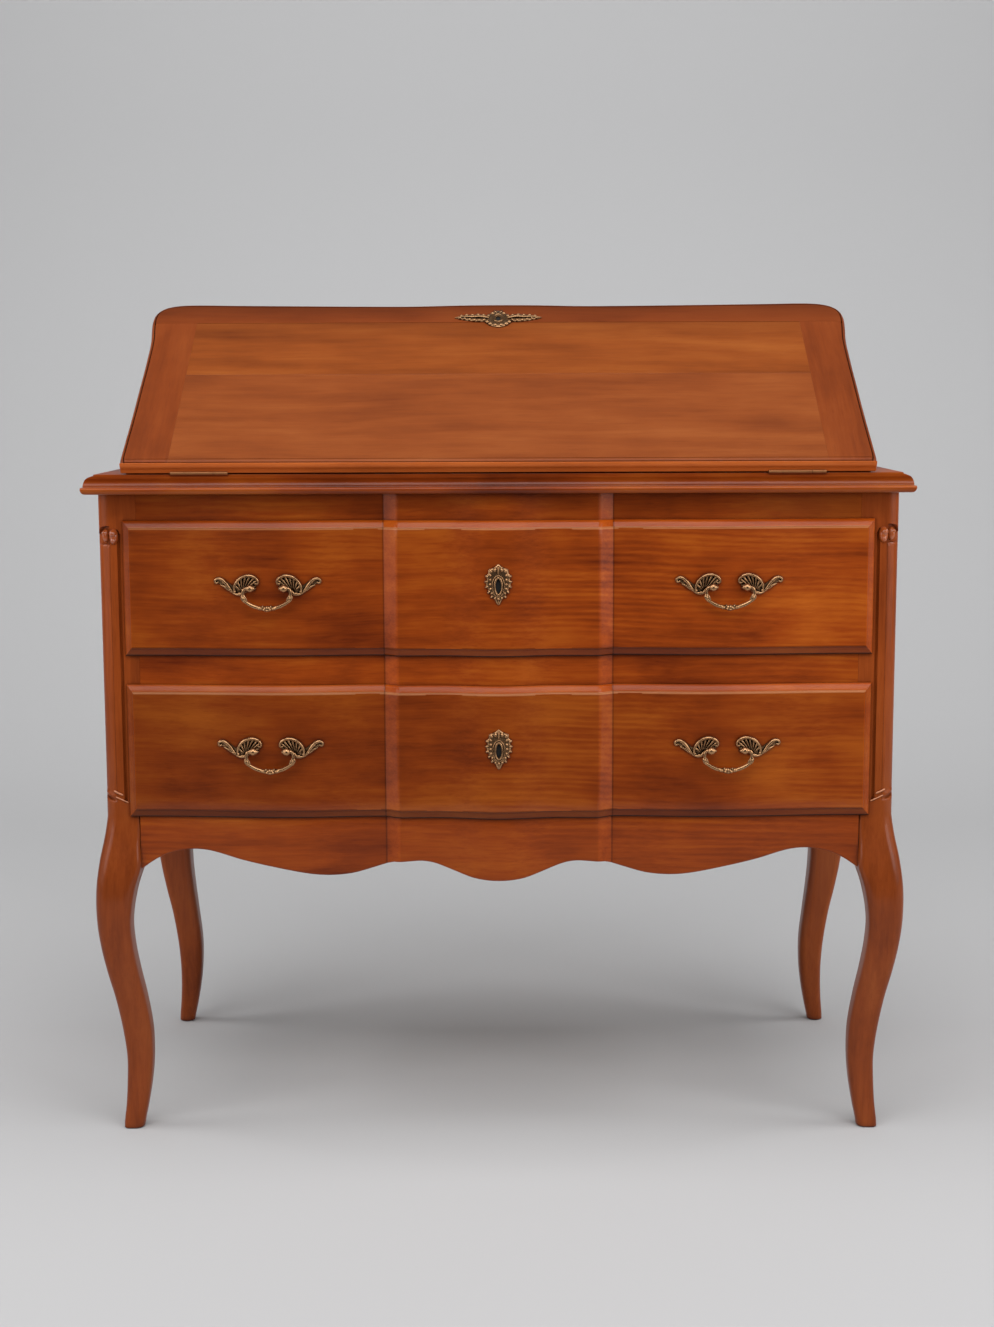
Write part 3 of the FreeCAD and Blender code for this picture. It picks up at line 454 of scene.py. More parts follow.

# painted light: the legs' wood grows lighter up the posts, standing for the light falling off towards the floor
M_LEG = [wood("cherry_leg_%d" % i, "z", 11.0 + 1.7 * i, 0.84 if i < 2 else 0.90, RED, cloud=0.75, lines=0.10, figure=1.2, light_with_height=0.60, coat=0.24) for i in range(4)]
# painted highlight: the carved bud and the stop beads get paler, glossier wood without the painted corner shade,
# standing for the highlights they catch
M_BUD = wood("cherry_bud", "z", 17.5, 1.35, RED, coat=1.0, gloss=0.10, spec=0.5, wax_and_shade=False)
M_STOP = wood("cherry_stop", "x", 18.2, 1.0, HIGHLIGHT_PALE, coat=1.0, gloss=0.12, spec=0.5, wax_and_shade=False)
# painted shade: the lower drawer's front and moulding are toned darker than the upper's, standing for the light falling
# off towards the floor
M_DRAWER = [wood("cherry_drawer_upper", "x", 2.3, 0.96, contrast=1.0, lines=0.13, drift=0.17, wear_and_sheen=0.40),
            wood("cherry_drawer_lower", "x", 7.9, 0.74, contrast=1.0, lines=0.12, drift=0.16, wear_and_sheen=0.40)]
# painted light and shade on the drawer mouldings: top band and sides lighter, the arris in highlight colours, as
# painted highlight; the lower band and the underside of the lip darker, as painted shade
M_DRAWER_EDGE = [[wood("cherry_drawer_%s_%s" % (nm, part), "x", seed, tone * k, cols, lines=0.07, coat=0.24, drift=0.16, wear_and_sheen=0.25, contrast=0.7)
                  for part, k, cols in (("top", 1.40, (DARK, MID, LIGHT)), ("arris", 0.95, HIGHLIGHT_PALE), ("side", 1.10, (DARK, MID, LIGHT)), ("foot", 0.60, (DARK, MID, LIGHT)),
                                        ("under", 0.14, (DARK, MID, LIGHT)))]
                 for nm, seed, tone in (("upper", 2.3, 0.98), ("lower", 7.9, 0.78))]
# the middle rail and apron spread the painted corner shade further, as shade below the drawer lips
M_RAIL = [wood("cherry_top_rail", "x", 4.4, 1.0, wear_and_sheen=0.5), wood("cherry_middle_rail", "x", 5.6, 1.02, wear_and_sheen=0.4, reach=0.016, lines=0.12),
          wood("cherry_apron", "x", 6.1, 0.92, wear_and_sheen=0.3, reach=0.016, lines=0.12, coat=0.15, cloud=0.6)]
M_BOARD = wood("cherry_desk_board", "x", 8.7, 0.84, gloss=0.06, coat=0.3)
# painted shade: the upper board and top rail of the fall darken towards the top edge; painted light: the lipping is
# toned far paler so that it reads as lit as the slope
M_FALL = {"lower": wood("cherry_fall_lower", "fall", 3.2, 0.78, PALE, contrast=0.8, rough=0.42, coat=0.08, spec=0.14, lines=0.12, cloud=0.75),
          "upper": wood("cherry_fall_upper", "fall", 9.4, 0.75, AMBER, contrast=0.8, rough=0.42, coat=0.08, spec=0.12, lines=0.14, cloud=0.85, shade_to_top=(0.938, 0.961, 1.0, 0.84)),
          "top": wood("cherry_fall_top", "fall", 1.1, 0.78, RED, contrast=0.6, rough=0.42, coat=0.08, spec=0.12, shade_to_top=(0.960, 0.982, 1.0, 0.66)),
          "lip": wood("cherry_fall_lip", "fall", 2.7, 1.75, PALE, contrast=0.5, rough=0.42, coat=0.12, spec=0.14, wax_and_shade=False),
          "left": wood("cherry_fall_left", "slope", 5.0, 0.78, RED, contrast=0.8, rough=0.42, coat=0.08, spec=0.12),
          "right": wood("cherry_fall_right", "slope", 6.8, 0.77, RED, contrast=0.8, rough=0.42, coat=0.08, spec=0.12)}
M_CASE_X = wood("cherry_case_level", "x", 12.4, 0.95, cloud=0.7)
M_CASE_Y = wood("cherry_case_deep", "y", 13.3, 0.95, cloud=0.7)
M_INNER_X = wood("inner_wood_level", "x", 14.2, 1.0, DRY, lines=0.14, rough=0.55, coat=0.0, cloud=0.6)
M_INNER_Y = wood("inner_wood_deep", "y", 15.1, 1.0, DRY, lines=0.14, rough=0.55, coat=0.0, cloud=0.6)
M_BRASS = metal("brass_aged", (0.45, 0.245, 0.118), (0.026, 0.012, 0.005), 0.25, 0.009, 1.5, 300.0, 1.7)
M_BRASS_FALL = metal("brass_fall", (0.36, 0.196, 0.094), (0.022, 0.010, 0.004), 0.27, 0.009, 1.5, 300.0, 1.7)
M_BRASS_DARK = metal("brass_dark", (0.34, 0.150, 0.062), (0.18, 0.070, 0.028), 0.48, 0.004, 0.6, 160.0)
M_BRASS_PLAIN = metal("brass_plain", (0.50, 0.36, 0.17), (0.20, 0.14, 0.06), 0.34, 0.004, 0.6, 160.0)
M_STEEL = metal("steel_dull", (0.30, 0.29, 0.28), (0.10, 0.09, 0.08), 0.45, 0.004, 0.6, 160.0)
# painted shade for the keyholes
M_HOLE_SHADE, _nt, _b = shader("keyhole_painted_shade")
_b.inputs["Base Color"].default_value = (0.006, 0.005, 0.004, 1.0)
_b.inputs["Roughness"].default_value = 0.9


# ------------------------------------------------------------------ drawer fronts
# edge moulding from the edge inward: distance, height off the carcass line
EDGE = [(0.0, 0.5), (0.0, 1.6), (0.2, 2.3), (0.7, 3.2), (1.5, 4.1), (2.6, 4.8), (4.2, 5.5), (6.2, 6.35), (7.8, 7.0), (8.4, 7.2),
        (8.9, 8.45), (9.5, 8.88), (10.6, 9.0)]
# the lower edge keeps a thick lip: height at the same distances
LOW_EDGE = [0.5, 3.4, 3.9, 4.4, 4.9, 5.4, 5.9, 6.4, 6.9, 7.2, 8.45, 8.88, 9.0]


def drawer_front(z0, z1, i0, i1):
    K = len(EDGE) - 1
    left = [-LIP_X + 0.86 * d for d, h in EDGE]
    inner = [x for x in plan_stations(LIP_X - 0.86 * EDGE[-1][0]) if abs(x) < LIP_X - 0.86 * EDGE[-1][0] - 1.0]
    xs = left + inner + [-x for x in left[::-1]]
    zl = [z0 + d for d, h in EDGE]
    zh = [z1 - d for d, h in EDGE[::-1]]
    nz = 8
    zs = zl + [zl[-1] + (zh[0] - zl[-1]) * k / nz for k in range(1, nz)] + zh
    nx, nzv = len(xs), len(zs)

    def height(i, j):
        side, low = min(i, nx - 1 - i, nzv - 1 - j, K), min(j, K)
        return LOW_EDGE[low] if low < side else EDGE[side][1] if side < low else 0.5 * (EDGE[side][1] + LOW_EDGE[side])

    s = Shape()
    v, f = [], []
    for i, x in enumerate(xs):
        for j, z in enumerate(zs):
            v.append((x, POST_YF - bowf(x) - height(i, j), z))
    for i in range(nx - 1):
        for j in range(nzv - 1):
            a, b, c, d = i * nzv + j, (i + 1) * nzv + j, (i + 1) * nzv + j + 1, i * nzv + j + 1
            ii, jj = min(i, nx - 2 - i), min(j, nzv - 2 - j)
            if ii == jj and ii < K:
                rising = (i < nx / 2) == (j < nzv / 2)
                f += [(a, b, c), (a, c, d)] if rising else [(a, b, d), (b, c, d)]
            else:
                f.append((a, b, c, d))
    k = len(v)
    # flat-backed lip
    for i, x in enumerate(xs):
        for j, z in enumerate(zs):
            v.append((x, POST_YF - bowf(x) - 0.5, z))
    for i in range(nx - 1):
        for j in range(nzv - 1):
            a, b, c, d = k + i * nzv + j, k + (i + 1) * nzv + j, k + (i + 1) * nzv + j + 1, k + i * nzv + j + 1
            f.append((d, c, b, a))
    s.add(v, f)
    # thickness of the front between the drawer sides
    rings = []
    for x in plan_stations(412.7):
        yf = POST_YF - bowf(x) - 0.9
        rings.append([(x, yf, i0), (x, yf, i1 - 0.8), (x, yf + 0.8, i1), (x, FRONT_BACK - 0.8, i1), (x, FRONT_BACK, i1 - 0.8), (x, FRONT_BACK, i0 + 0.8),
                      (x, FRONT_BACK - 0.8, i0)])
    s.join(loft(rings))
    return s


for k, (nm, z0, z1, i0, i1) in enumerate((("upper", 576.0, 732.5, 581.3, 727.7), ("lower", 386.0, 542.0, 391.3, 536.7))):
    ob = make(nm + "_drawer_front_look", drawer_front(z0, z1, i0, i1), M_DRAWER[k], nm + "_drawer", [nm + "_drawer_front"], 24.0)
    # painted light and shade: the moulding is made lighter along the top and a little at the sides, as painted
    # highlight, and darker on its lower band and darkest under the lip, as painted shade
    for m in M_DRAWER_EDGE[k]:
        ob.data.materials.append(m)
    band, side = EDGE[-1][0], 0.86 * EDGE[-1][0]
    for q in ob.data.polygons:
        x, y, z = q.center / MM
        if not POST_YF - bowf(x) - 8.95 < y < POST_YF - bowf(x) - 0.55:
            continue
        dt, ds, db = z1 - z, (LIP_X - abs(x)) / 0.86, z - z0
        if dt < min(ds, db) and dt < band:
            q.material_index = 2 if dt > 8.1 else 1
        elif ds < db and ds < band:
            q.material_index = 3
        elif db < band:
            q.material_index = 4 if db > 1.5 else 5


# ------------------------------------------------------------------ rails and apron
def rail(z0, z1):
    rings = []
    for x in plan_stations(416.5):
        yf = POST_YF - bowf(x) - 0.06
        rings.append([(x, yf, z0 + 0.8), (x, yf, z1 - 0.8), (x, yf + 0.8, z1), (x, RAIL_BACK - 0.8, z1), (x, RAIL_BACK, z1 - 0.8), (x, RAIL_BACK, z0 + 0.8),
                      (x, RAIL_BACK - 0.8, z0), (x, yf + 0.8, z0)])
    return loft(rings)


make("front_top_rail_look", rail(729.0, BOARD_Z0), M_RAIL[0], "case", ["front_top_rail"], 24.0)
make("front_middle_rail_look", rail(538.0, 580.0), M_RAIL[1], "case", ["front_middle_rail"], 24.0)

HALF = [(-424.0, 320.0), (-416.0, 325.5), (-405.0, 333.0), (-390.0, 340.3), (-371.0, 345.0), (-356.0, 346.3), (-336.0, 344.0),
        (-301.0, 334.0), (-254.0, 323.6), (-219.0, 317.2), (-196.0, 315.7), (-172.0, 317.6), (-149.0, 323.6), (-123.5, 331.6)]
MIDDLE = [(-123.5, 331.6), (-101.0, 333.4), (-89.6, 333.7), (-75.6, 331.2), (-54.7, 323.2), (-31.4, 314.8), (-14.0, 312.0), (0.0, 311.4), (14.0, 312.0)]


def apron_low(x):
    a = -abs(x)
    return table_at(HALF, a)[0] if a < -123.5 else table_at(MIDDLE, a)[0]


def apron():
    rings = []
    xs = sorted(set(plan_stations(421.0) + [s * a for s in (-1, 1) for a in (123.5, 123.0, 124.0, 389.0, 397.0, 401.0, 404.0, 408.0, 411.0, 414.0, 417.0, 419.0)]))
    for x in xs:
        yf, zb = POST_YF - bowf(x) - 0.06, apron_low(x)
        rings.append([(x, yf, 390.0), (x, yf, zb + 3.2), (x, yf + 0.45, zb + 1.6), (x, yf + 1.5, zb + 0.45), (x, yf + 3.2, zb), (x, RAIL_BACK - 1.0, zb),
                      (x, RAIL_BACK, zb + 1.0), (x, RAIL_BACK, 389.2), (x, RAIL_BACK - 0.8, 390.0)])
    return loft(rings)


make("front_apron_look", apron(), M_RAIL[2], "case", ["front_apron"], 24.0)

# ------------------------------------------------------------------ legs with posts
LEG = [(0.0, 452.4, 429.2), (9.0, 452.0, 427.8), (31.0, 449.8, 423.5), (60.0, 448.3, 419.2), (88.0, 448.1, 417.2),
       (122.0, 451.6, 417.8), (162.0, 458.1, 422.8), (197.0, 465.7, 428.8), (230.0, 471.5, 433.3),
       (261.0, 474.6, 434.5), (297.0, 474.6, 429.0), (331.0, 470.6, 419.0), (360.0, 464.9, 415.2), (383.0, 461.6, 415.0), (392.0, 461.5, 415.0)]
REAR_LEG = [(0.0, 451.6, 431.2), (9.0, 450.9, 429.4), (31.0, 448.3, 424.3), (60.0, 446.1, 419.0), (88.0, 445.7, 415.8),
            (122.0, 447.8, 415.2), (162.0, 453.7, 419.2), (197.0, 461.0, 423.2), (230.0, 467.0, 426.2),
            (261.0, 470.5, 426.8), (297.0, 471.1, 424.2), (331.0, 467.5, 418.4), (360.0, 463.0, 415.6), (392.0, 460.0, 415.0)]
# radius of the outer front corner
ROUND = [(0.0, 4.6), (30.0, 6.0), (90.0, 7.5), (160.0, 9.0), (230.0, 11.0), (300.0, 12.6), (360.0, 13.6), (392.0, 14.0)]
FACE_X = [417.5, 424.0, 430.0, 432.6, 433.8, 434.6, 435.8, 437.0, 437.8, 439.4, 441.6, 443.4, 444.6, 446.0]
FACE_G = [0.0, 0.0, 0.0, 0.0, 0.0, 1.5, 2.3, 1.5, 0.0, 0.0, 0.0, 0.0, 0.05, 0.35]
CORNER_N = 13


def leg_ring(x0, x1, y0, y1, z, r, cham, bulge, groove, tilt, arch):
    # one level of a right-hand leg; the outer front corner can be canted and carved
    pts = []
    fx = [(q - FACE_X[0]) / (FACE_X[-1] - FACE_X[0]) for q in FACE_X]
    a0, a1 = x0 + r, x1 - cham

    def lift(x):
        return arch * math.sqrt(max(0.0, 1 - ((x - 446.5) / 11.5) ** 2))

    for q, g, ox in zip(fx, FACE_G, FACE_X):
        w = max(0.0, min(1.0, (ox - 427.0) / 8.0))
        pts.append((a0 + (a1 - a0) * q, y0 + g * groove, z + tilt * w + lift(ox)))
    for k in range(CORNER_N):
        b = k / (CORNER_N - 1)
        px, py = x1 - cham + cham * b, y0 + cham * b
        h = bulge * math.sin(math.pi * b) ** 0.75 if bulge > 0 else bulge * min(1.0, math.sin(math.pi * b) * 4.0)
        pts.append((px + h * 0.7071, py - h * 0.7071, z + tilt * (1 - b) + lift(446.0 + 14.0 * b)))
    for k in range(1, 4):
        pts.append((x1, y0 + cham + (y1 - r - y0 - cham) * k / 4, z))

    def arc(cx, cy, t0, n=6):
        for k in range(n + 1):
            t = math.radians(t0 + 90.0 * k / n)
            pts.append((cx + r * math.cos(t), cy + r * math.sin(t), z))

    arc(x1 - r, y1 - r, 0)
    pts.append((0.5 * (x0 + x1), y1, z))
    arc(x0 + r, y1 - r, 90)
    pts.append((x0, 0.5 * (y0 + y1), z))
    arc(x0 + r, y0 + r, 180)
    return pts


def leg(front):
    rings = []

    def section(z):
        xo, xi = table_at(LEG if front else REAR_LEG, z)
        if front:
            return xi + ease(0.0, 6.0, (z - 318.0) / 40.0), xo, POST_YF + (POST_X1 + ease(0.0, 1.5, (z - 300.0) / 80.0) - xo), POST_YF + (POST_X1 - xi)
        t = max(0.0, 1 - z / 150.0)
        yb = REAR_YB - 3.0 * math.sin(math.pi * min(1.0, z / 260.0)) + 8.0 * t * t
        return xi, xo, yb - (xo - xi), yb

    zs = [0.0, 0.6, 1.6] + [3.0 + 387.0 * (k / 64.0) for k in range(65)]
    for z in zs:
        x0, x1, y0, y1 = section(z)
        r = 4.0 + 5.5 * min(1.0, (392.0 - z) / 120.0)
        c = 0.0 if z > 1.2 else (1.6 - z) * 0.9
        x0, x1, y0, y1 = x0 + c, x1 - c, y0 + c, y1 - c
        rc = table_at(ROUND, z)[0] if front else 0.9 * r
        rings.append(leg_ring(x0, x1, y0, y1, z, r, rc, rc * 0.293, 0.0, 0.0, 0.0))
    P = (POST_X0, POST_X1 + 1.5, POST_YF, POST_YF + POST_D) if front else (POST_X0, POST_X1, REAR_YB - POST_D, REAR_YB)
    if front:
        # z, cant, bulge, groove, slant, arch
        rows = [(396.0, 14.0, 4.1, 0.0, 0.0, 0.0), (402.0, 14.0, 4.1, 0.0, -2.4, 0.0), (408.0, 14.0, 4.1, 0.0, -6.5, 0.0), (408.7, 14.0, 3.7, 0.2, -6.5, 0.0),
                (409.6, 14.0, 1.3, 0.9, -6.5, 0.0), (411.6, 14.0, 1.1, 1.0, -6.2, 0.0), (412.3, 14.0, 2.9, 1.0, -6.0, 0.0), (413.6, 14.0, 3.9, 1.0, -5.8, 0.0),
                (415.4, 14.0, 4.0, 1.0, -5.6, 0.0), (416.8, 14.0, 3.1, 1.0, -5.3, 0.0), (419.0, 14.0, 2.8, 1.0, -4.6, 0.0), (432.0, 14.0, 2.8, 1.0, 0.0, 0.0)]
        rows += [(432.0 + 268.0 * k / 12.0, 14.0, 2.8, 1.0, 0.0, 0.0) for k in range(1, 13)]
        rows += [(702.8, 14.0, 2.5, 1.0, 0.0, 0.0), (704.2, 14.0, 1.4, 1.0, 0.0, 0.0), (704.9, 14.0, -0.9, 1.0, 0.0, 0.0), (713.0, 14.0, -0.9, 1.0, 0.0, 0.0),
                 (716.0, 14.0, -0.9, 0.9, 0.0, 9.0), (716.8, 14.0, 4.1, 0.0, 0.0, 9.4), (734.0, 14.0, 4.1, 0.0, 0.0, 0.0), (BOARD_Z0, 14.0, 4.1, 0.0, 0.0, 0.0)]
        for z, cham, bulge, groove, tilt, arch in rows:
            rings.append(leg_ring(*P, z, 2.5, cham, bulge, groove, tilt, arch))
    else:
        for z in (398.0, 500.0, 620.0, BOARD_Z0):
            rings.append(leg_ring(*P, z, 2.5, 3.0, 0.9, 0.0, 0.0, 0.0))
    return loft(rings)


def bud():
    # carved bud under the arch, with a petal round the corner
    s = Shape()
    up = Vector((0.0, 0.0, 1.0))
    for x, y, z, nx, ra, rz, h in ((442.4, -197.6, 713.6, 0.25, 5.2, 9.2, 4.6), (442.6, -197.6, 717.2, 0.25, 4.8, 4.8, 7.0), (442.4, -197.6, 709.0, 0.25, 3.8, 4.2, 5.4),
                                   (451.6, -194.6, 714.6, 0.70, 3.0, 7.4, 4.8), (451.6, -194.6, 717.6, 0.70, 2.5, 3.4, 5.8)):
        n = Vector((nx, -math.sqrt(1 - nx * nx), 0.0))
        t = Vector((-n.y, n.x, 0.0))
        s.join(dome((x, y, z), t * ra, up * rz, n * h, 18, 10))
    return s


fl, rl = leg(True), leg(False)
make("front_right_leg_look", fl, M_LEG[0], "case", ["front_right_leg"], 32.0)
make("front_left_leg_look", fl.mirrored(), M_LEG[1], "case", ["front_left_leg"], 32.0)
def stops():
    # small slanting beads where the reed and the groove end
    up = (0, -1, 0)
    s = tube(catmull([(434.2, -198.2, 401.9), (441.0, -198.3, 405.1), (448.4, -198.0, 408.5)], 6), [0.5] + [0.8] * 11 + [0.5], up, 10)
    return s.join(tube(catmull([(440.4, -198.3, 411.0), (445.6, -198.5, 413.3), (450.6, -197.6, 415.8)], 6), [0.6] + [1.05] * 11 + [0.6], up, 10))


make("front_right_stops", stops(), M_STOP, "case", (), 50.0)
make("front_left_stops", stops().mirrored(), M_STOP, "case", (), 50.0)
make("front_right_bud", bud(), M_BUD, "case", (), 50.0)
make("front_left_bud", bud().mirrored(), M_BUD, "case", (), 50.0)
make("rear_right_leg_look", rl, M_LEG[2], "case", ["rear_right_leg"], 32.0)
make("rear_left_leg_look", rl.mirrored(), M_LEG[3], "case", ["rear_left_leg"], 32.0)


# ------------------------------------------------------------------ desk board
def desk_board():
    # from the nose front: distance back, height
    front = [(4.6, 763.7), (2.9, 764.15), (2.0, 764.9), (1.1, 766.0), (0.6, 766.8), (0.15, 768.0), (0.0, 768.9), (0.12, 769.8), (0.5, 770.4), (1.2, 770.95), (2.0, 771.25),
             (3.2, 771.4), (15.5, 771.4), (16.1, 771.55), (16.4, 772.2), (16.5, 773.2), (16.9, 774.2), (17.4, 775.2), (17.75, 776.4), (17.8, 777.4), (17.6, 778.6), (17.2, 779.6),
             (16.9, 780.3), (16.6, 780.9), (16.45, 781.2), (16.4, 781.5), (16.4, 782.2), (16.4, 783.0), (16.4, 783.6), (16.4, 784.1), (16.4, 784.5), (16.4, 785.3), (16.55, 785.75),
             (17.0, 785.95)]
    side_rows = [(763.7, 4.6), (764.9, 2.0), (766.7, 0.6), (769.1, 0.0), (773.8, 0.0), (775.4, 0.3), (776.8, 0.8), (778.2, 1.4), (779.4, 2.2), (780.6, 3.3), (781.7, 4.8), (782.5, 6.4),
                 (783.2, 8.2), (783.7, 9.6), (784.1, 10.6), (784.5, 12.4), (785.3, 12.4), (785.95, 12.9)]

    def side_e(z):
        if z <= side_rows[0][0]:
            return side_rows[0][1]
        for (za, ea), (zb, eb) in zip(side_rows, side_rows[1:]):
            if za <= z <= zb:
                return ea + (eb - ea) * (z - za) / (zb - za)
        return side_rows[-1][1]

    rings = []
    for e, z in front:
        x, y = NOSE_X - side_e(z), NOSE_Y + e
        rings.append([(-x, y, z), (x, y, z), (x, BOARD_BACK, z), (-x, BOARD_BACK, z)])
    return loft(rings)


make("desk_board_look", desk_board(), M_BOARD, "case", ["desk_board"], 34.0)

# ------------------------------------------------------------------ fall
# outline: place up the slope and half width along the sides, the corner as a run of points, and the shallow waves of the top edge
SIDE_ROWS = [(0.0, 428.2), (45.0, 427.4), (85.0, 426.6), (126.0, 426.1), (160.0, 425.9), (195.0, 425.5), (231.0, 425.5), (249.0, 425.6), (266.0, 426.4), (285.0, 428.4), (298.0, 429.5)]
CORNER = [(429.5, 298.0), (429.8, 308.0), (429.0, 317.5), (426.6, 325.5), (421.5, 332.5), (413.0, 338.4), (397.0, 342.4), (372.0, 343.2), (330.0, 342.0)]
TOP_ROWS = [(-330.0, 342.0), (-300.0, 341.4), (-226.0, 339.9), (-126.0, 338.5), (-98.0, 338.8), (-50.0, 340.8), (0.0, 341.5), (50.0, 340.8)]


def side_x(s):
    return table_at(SIDE_ROWS, s)[0]


# the inner face lies a hair behind the leaves and the lock let into it
INNER = 0.10
# rounding of the outer face at the side edges and at the top edge, which laps a little over the top board: distance in, height
THUMB = [(0.0, INNER), (0.0, 1.5), (0.0, 8.6), (0.0, 9.2), (0.3, 10.8), (1.1, 12.4), (2.1, 13.5), (3.1, 14.2), (3.7, 14.3), (3.9, 12.6), (5.0, 12.6), (5.2, 15.0)]
BRIM = [(2.6, INNER), (2.6, 1.5), (2.6, 10.7), (0.3, 11.0), (0.1, 12.4), (0.6, 13.5), (1.4, 14.3), (2.6, 14.7), (3.7, 14.7), (3.9, 13.6), (5.0, 13.6), (5.2, 15.0)]
# lower end of a board: place up the slope, height off the inner face; a groove and a fine line run along it
FOOT = [(0.5, INNER), (0.2, 0.4), (0.2, 12.4), (0.7, 12.9), (1.2, 13.2), (1.7, 13.7), (2.1, 14.7), (2.8, 15.0), (6.5, 15.0), (6.8, 14.55), (7.2, 14.55), (7.5, 15.0)]
# lipping under it
LIPPING = [(1.0, 12.8), (0.7, 13.7), (0.3, 14.15), (-0.1, 14.0), (-0.45, 13.3), (-0.8, 12.4), (-1.1, 11.5), (-1.35, 10.4), (-1.35, 9.2), (-1.15, 8.2), (-0.75, 7.3), (-0.35, 6.4),
           (-0.12, 5.4), (0.0, 4.0), (0.0, 0.8), (0.5, 0.3), (1.4, 1.0), (1.4, 6.0)]


def fall_lower(x0, x1, s1, n=24):
    # board with the grooved lower end
    sec = FOOT + [(s1 - 0.35, 15.0), (s1, 14.7), (s1, 0.4), (s1 - 0.3, INNER)]
    rings = []
    for k in range(n + 1):
        x = x0 + (x1 - x0) * k / n
        rings.append([fall_pt(x, s, h) for s, h in sec])
    return loft(rings)


def fall_plain(x0, x1, s0, s1, n=24):
    sec = [(s0 + 0.3, INNER), (s0, 0.4), (s0, 14.7), (s0 + 0.35, 15.0), (s1 - 0.35, 15.0), (s1, 14.7), (s1, 0.4), (s1 - 0.3, INNER)]
    rings = []
    for k in range(n + 1):
        x = x0 + (x1 - x0) * k / n
        rings.append([fall_pt(x, s, h) for s, h in sec])
    return loft(rings)


def fall_stile(sgn):
    # stile: its outer edge is moulded, its lower end grooved like the boards
    s_list = [7.9 + (RAIL_S - 7.9) * k / 40.0 for k in range(41)]
    rings = []
    for s, h in FOOT[2:] + [(s, 15.0) for s in s_list]:
        xe = side_x(s) - 2.0 * max(0.0, 1 - s / 9.0)
        loop = [(STILE_X, h)] + [(xe - d, min(q, h)) for d, q in THUMB[::-1]] + [(STILE_X, INNER)]
        rings.append([fall_pt(sgn * x, s, q) for x, q in loop])
    return loft(rings)


def fall_lipping():
    # strip along the lower edge, its ends drawn in
    rings = []
    for k in range(61):
        x = (FALL_X - 2.2) * (-1.0 + 2.0 * k / 60.0)
        rings.append([fall_pt(x, s, n) for s, n in LIPPING])
    for i, q in ((0, 0.55), (-1, 0.55)):
        x = rings[i][0][0]
        rings[i] = [fall_pt(x, 0.6 + (s - 0.6) * q, 7.0 + (n - 7.0) * 0.93) for s, n in LIPPING]
    sg = -1.6
    for i, j in ((1, 0), (-2, -1)):
        x = rings[j][0][0]
        rings[i] = [fall_pt(x + (1.6 if j == 0 else sg), s, n) for s, n in LIPPING]
    return loft(rings)


def fall_top():
    # top rail with rounded upper corners and a moulded edge, as shrinking outlines
    def outline(level):
        run = catmull(CORNER, 6)
        nr = []
        for i, (x, s) in enumerate(run):
            a, b = run[max(0, i - 1)], run[min(len(run) - 1, i + 1)]
            tx, ts = b[0] - a[0], b[1] - a[1]
            L = math.hypot(tx, ts)
            w = abs(ts) / L
            inset = w * THUMB[level][0] + (1 - w) * BRIM[level][0]
            nr.append((x - inset * ts / L, s + inset * tx / L, w * THUMB[level][1] + (1 - w) * BRIM[level][1]))
        pts = list(nr)
        k = 40
        for i in range(1, k):
            x = 330.0 - 660.0 * i / k
            pts.append((x, table_at(TOP_ROWS, -abs(x))[0] - BRIM[level][0], BRIM[level][1]))
        pts += [(-x, s, n) for x, s, n in nr[::-1]]
        return [fall_pt(x, max(s, RAIL_S), n) for x, s, n in pts]

    return loft([outline(k) for k in range(len(THUMB))])


make("fall_lower_board_look", fall_lower(-STILE_X + 0.06, STILE_X - 0.06, JOINT_S - 0.06), M_FALL["lower"], "fall", ["fall_lower_board"], 30.0)
make("fall_upper_board_look", fall_plain(-STILE_X + 0.06, STILE_X - 0.06, JOINT_S + 0.06, RAIL_S - 0.06), M_FALL["upper"], "fall", ["fall_upper_board"], 30.0)
make("fall_lipping", fall_lipping(), M_FALL["lip"], "fall", (), 30.0)
make("fall_top_rail_look", fall_top(), M_FALL["top"], "fall", ["fall_top_rail"], 30.0)
make("fall_left_stile_look", fall_stile(-1), M_FALL["left"], "fall", ["fall_left_stile"], 30.0)
make("fall_right_stile_look", fall_stile(1), M_FALL["right"], "fall", ["fall_right_stile"], 30.0)


# ------------------------------------------------------------------ brass
def plate(outline, place, n0, n1):
    # thin plate over a surface, its rim a little rounded
    cx = sum(p[0] for p in outline) / len(outline)
    cz = sum(p[1] for p in outline) / len(outline)
    loops = []
    for k, n in ((1.0, n0), (1.0, n1 - 0.5), (0.97, n1 - 0.12), (0.93, n1)):
        loops.append([place(cx + (x - cx) * k, cz + (z - cz) * k, n) for x, z in outline])
    return loft(loops)


def strip(rows, place, per=5, seg=9, flat=1.0):
    # rounded rib along (x, z, height, radius) rows laid on a surface
    fine = catmull(rows, per)
    P = [place(x, z, n) for x, z, n, r in fine]
    a, b = Vector(place(rows[0][0], rows[0][1], 0.0)), Vector(place(rows[0][0], rows[0][1], 1.0))
    return tube(P, [max(0.25, r) for x, z, n, r in fine], tuple((b - a).normalized()), seg, flat)


def lump(x, z, rx, rz, h, place, turn=0.0, base=0.0):
    o = Vector(place(x, z, base))
    ex = (Vector(place(x + 1.0, z, base)) - o).normalized()
    out = (Vector(place(x, z, base + 1.0)) - o).normalized()
    ez = out.cross(ex)
    if ez.dot(Vector(place(x, z + 1.0, base)) - o) < 0:
        ez = -ez
    c, s = math.cos(math.radians(turn)), math.sin(math.radians(turn))
    return dome(o, (ex * c + ez * s) * rx, (ez * c - ex * s) * rz, out * h, 12, 7)


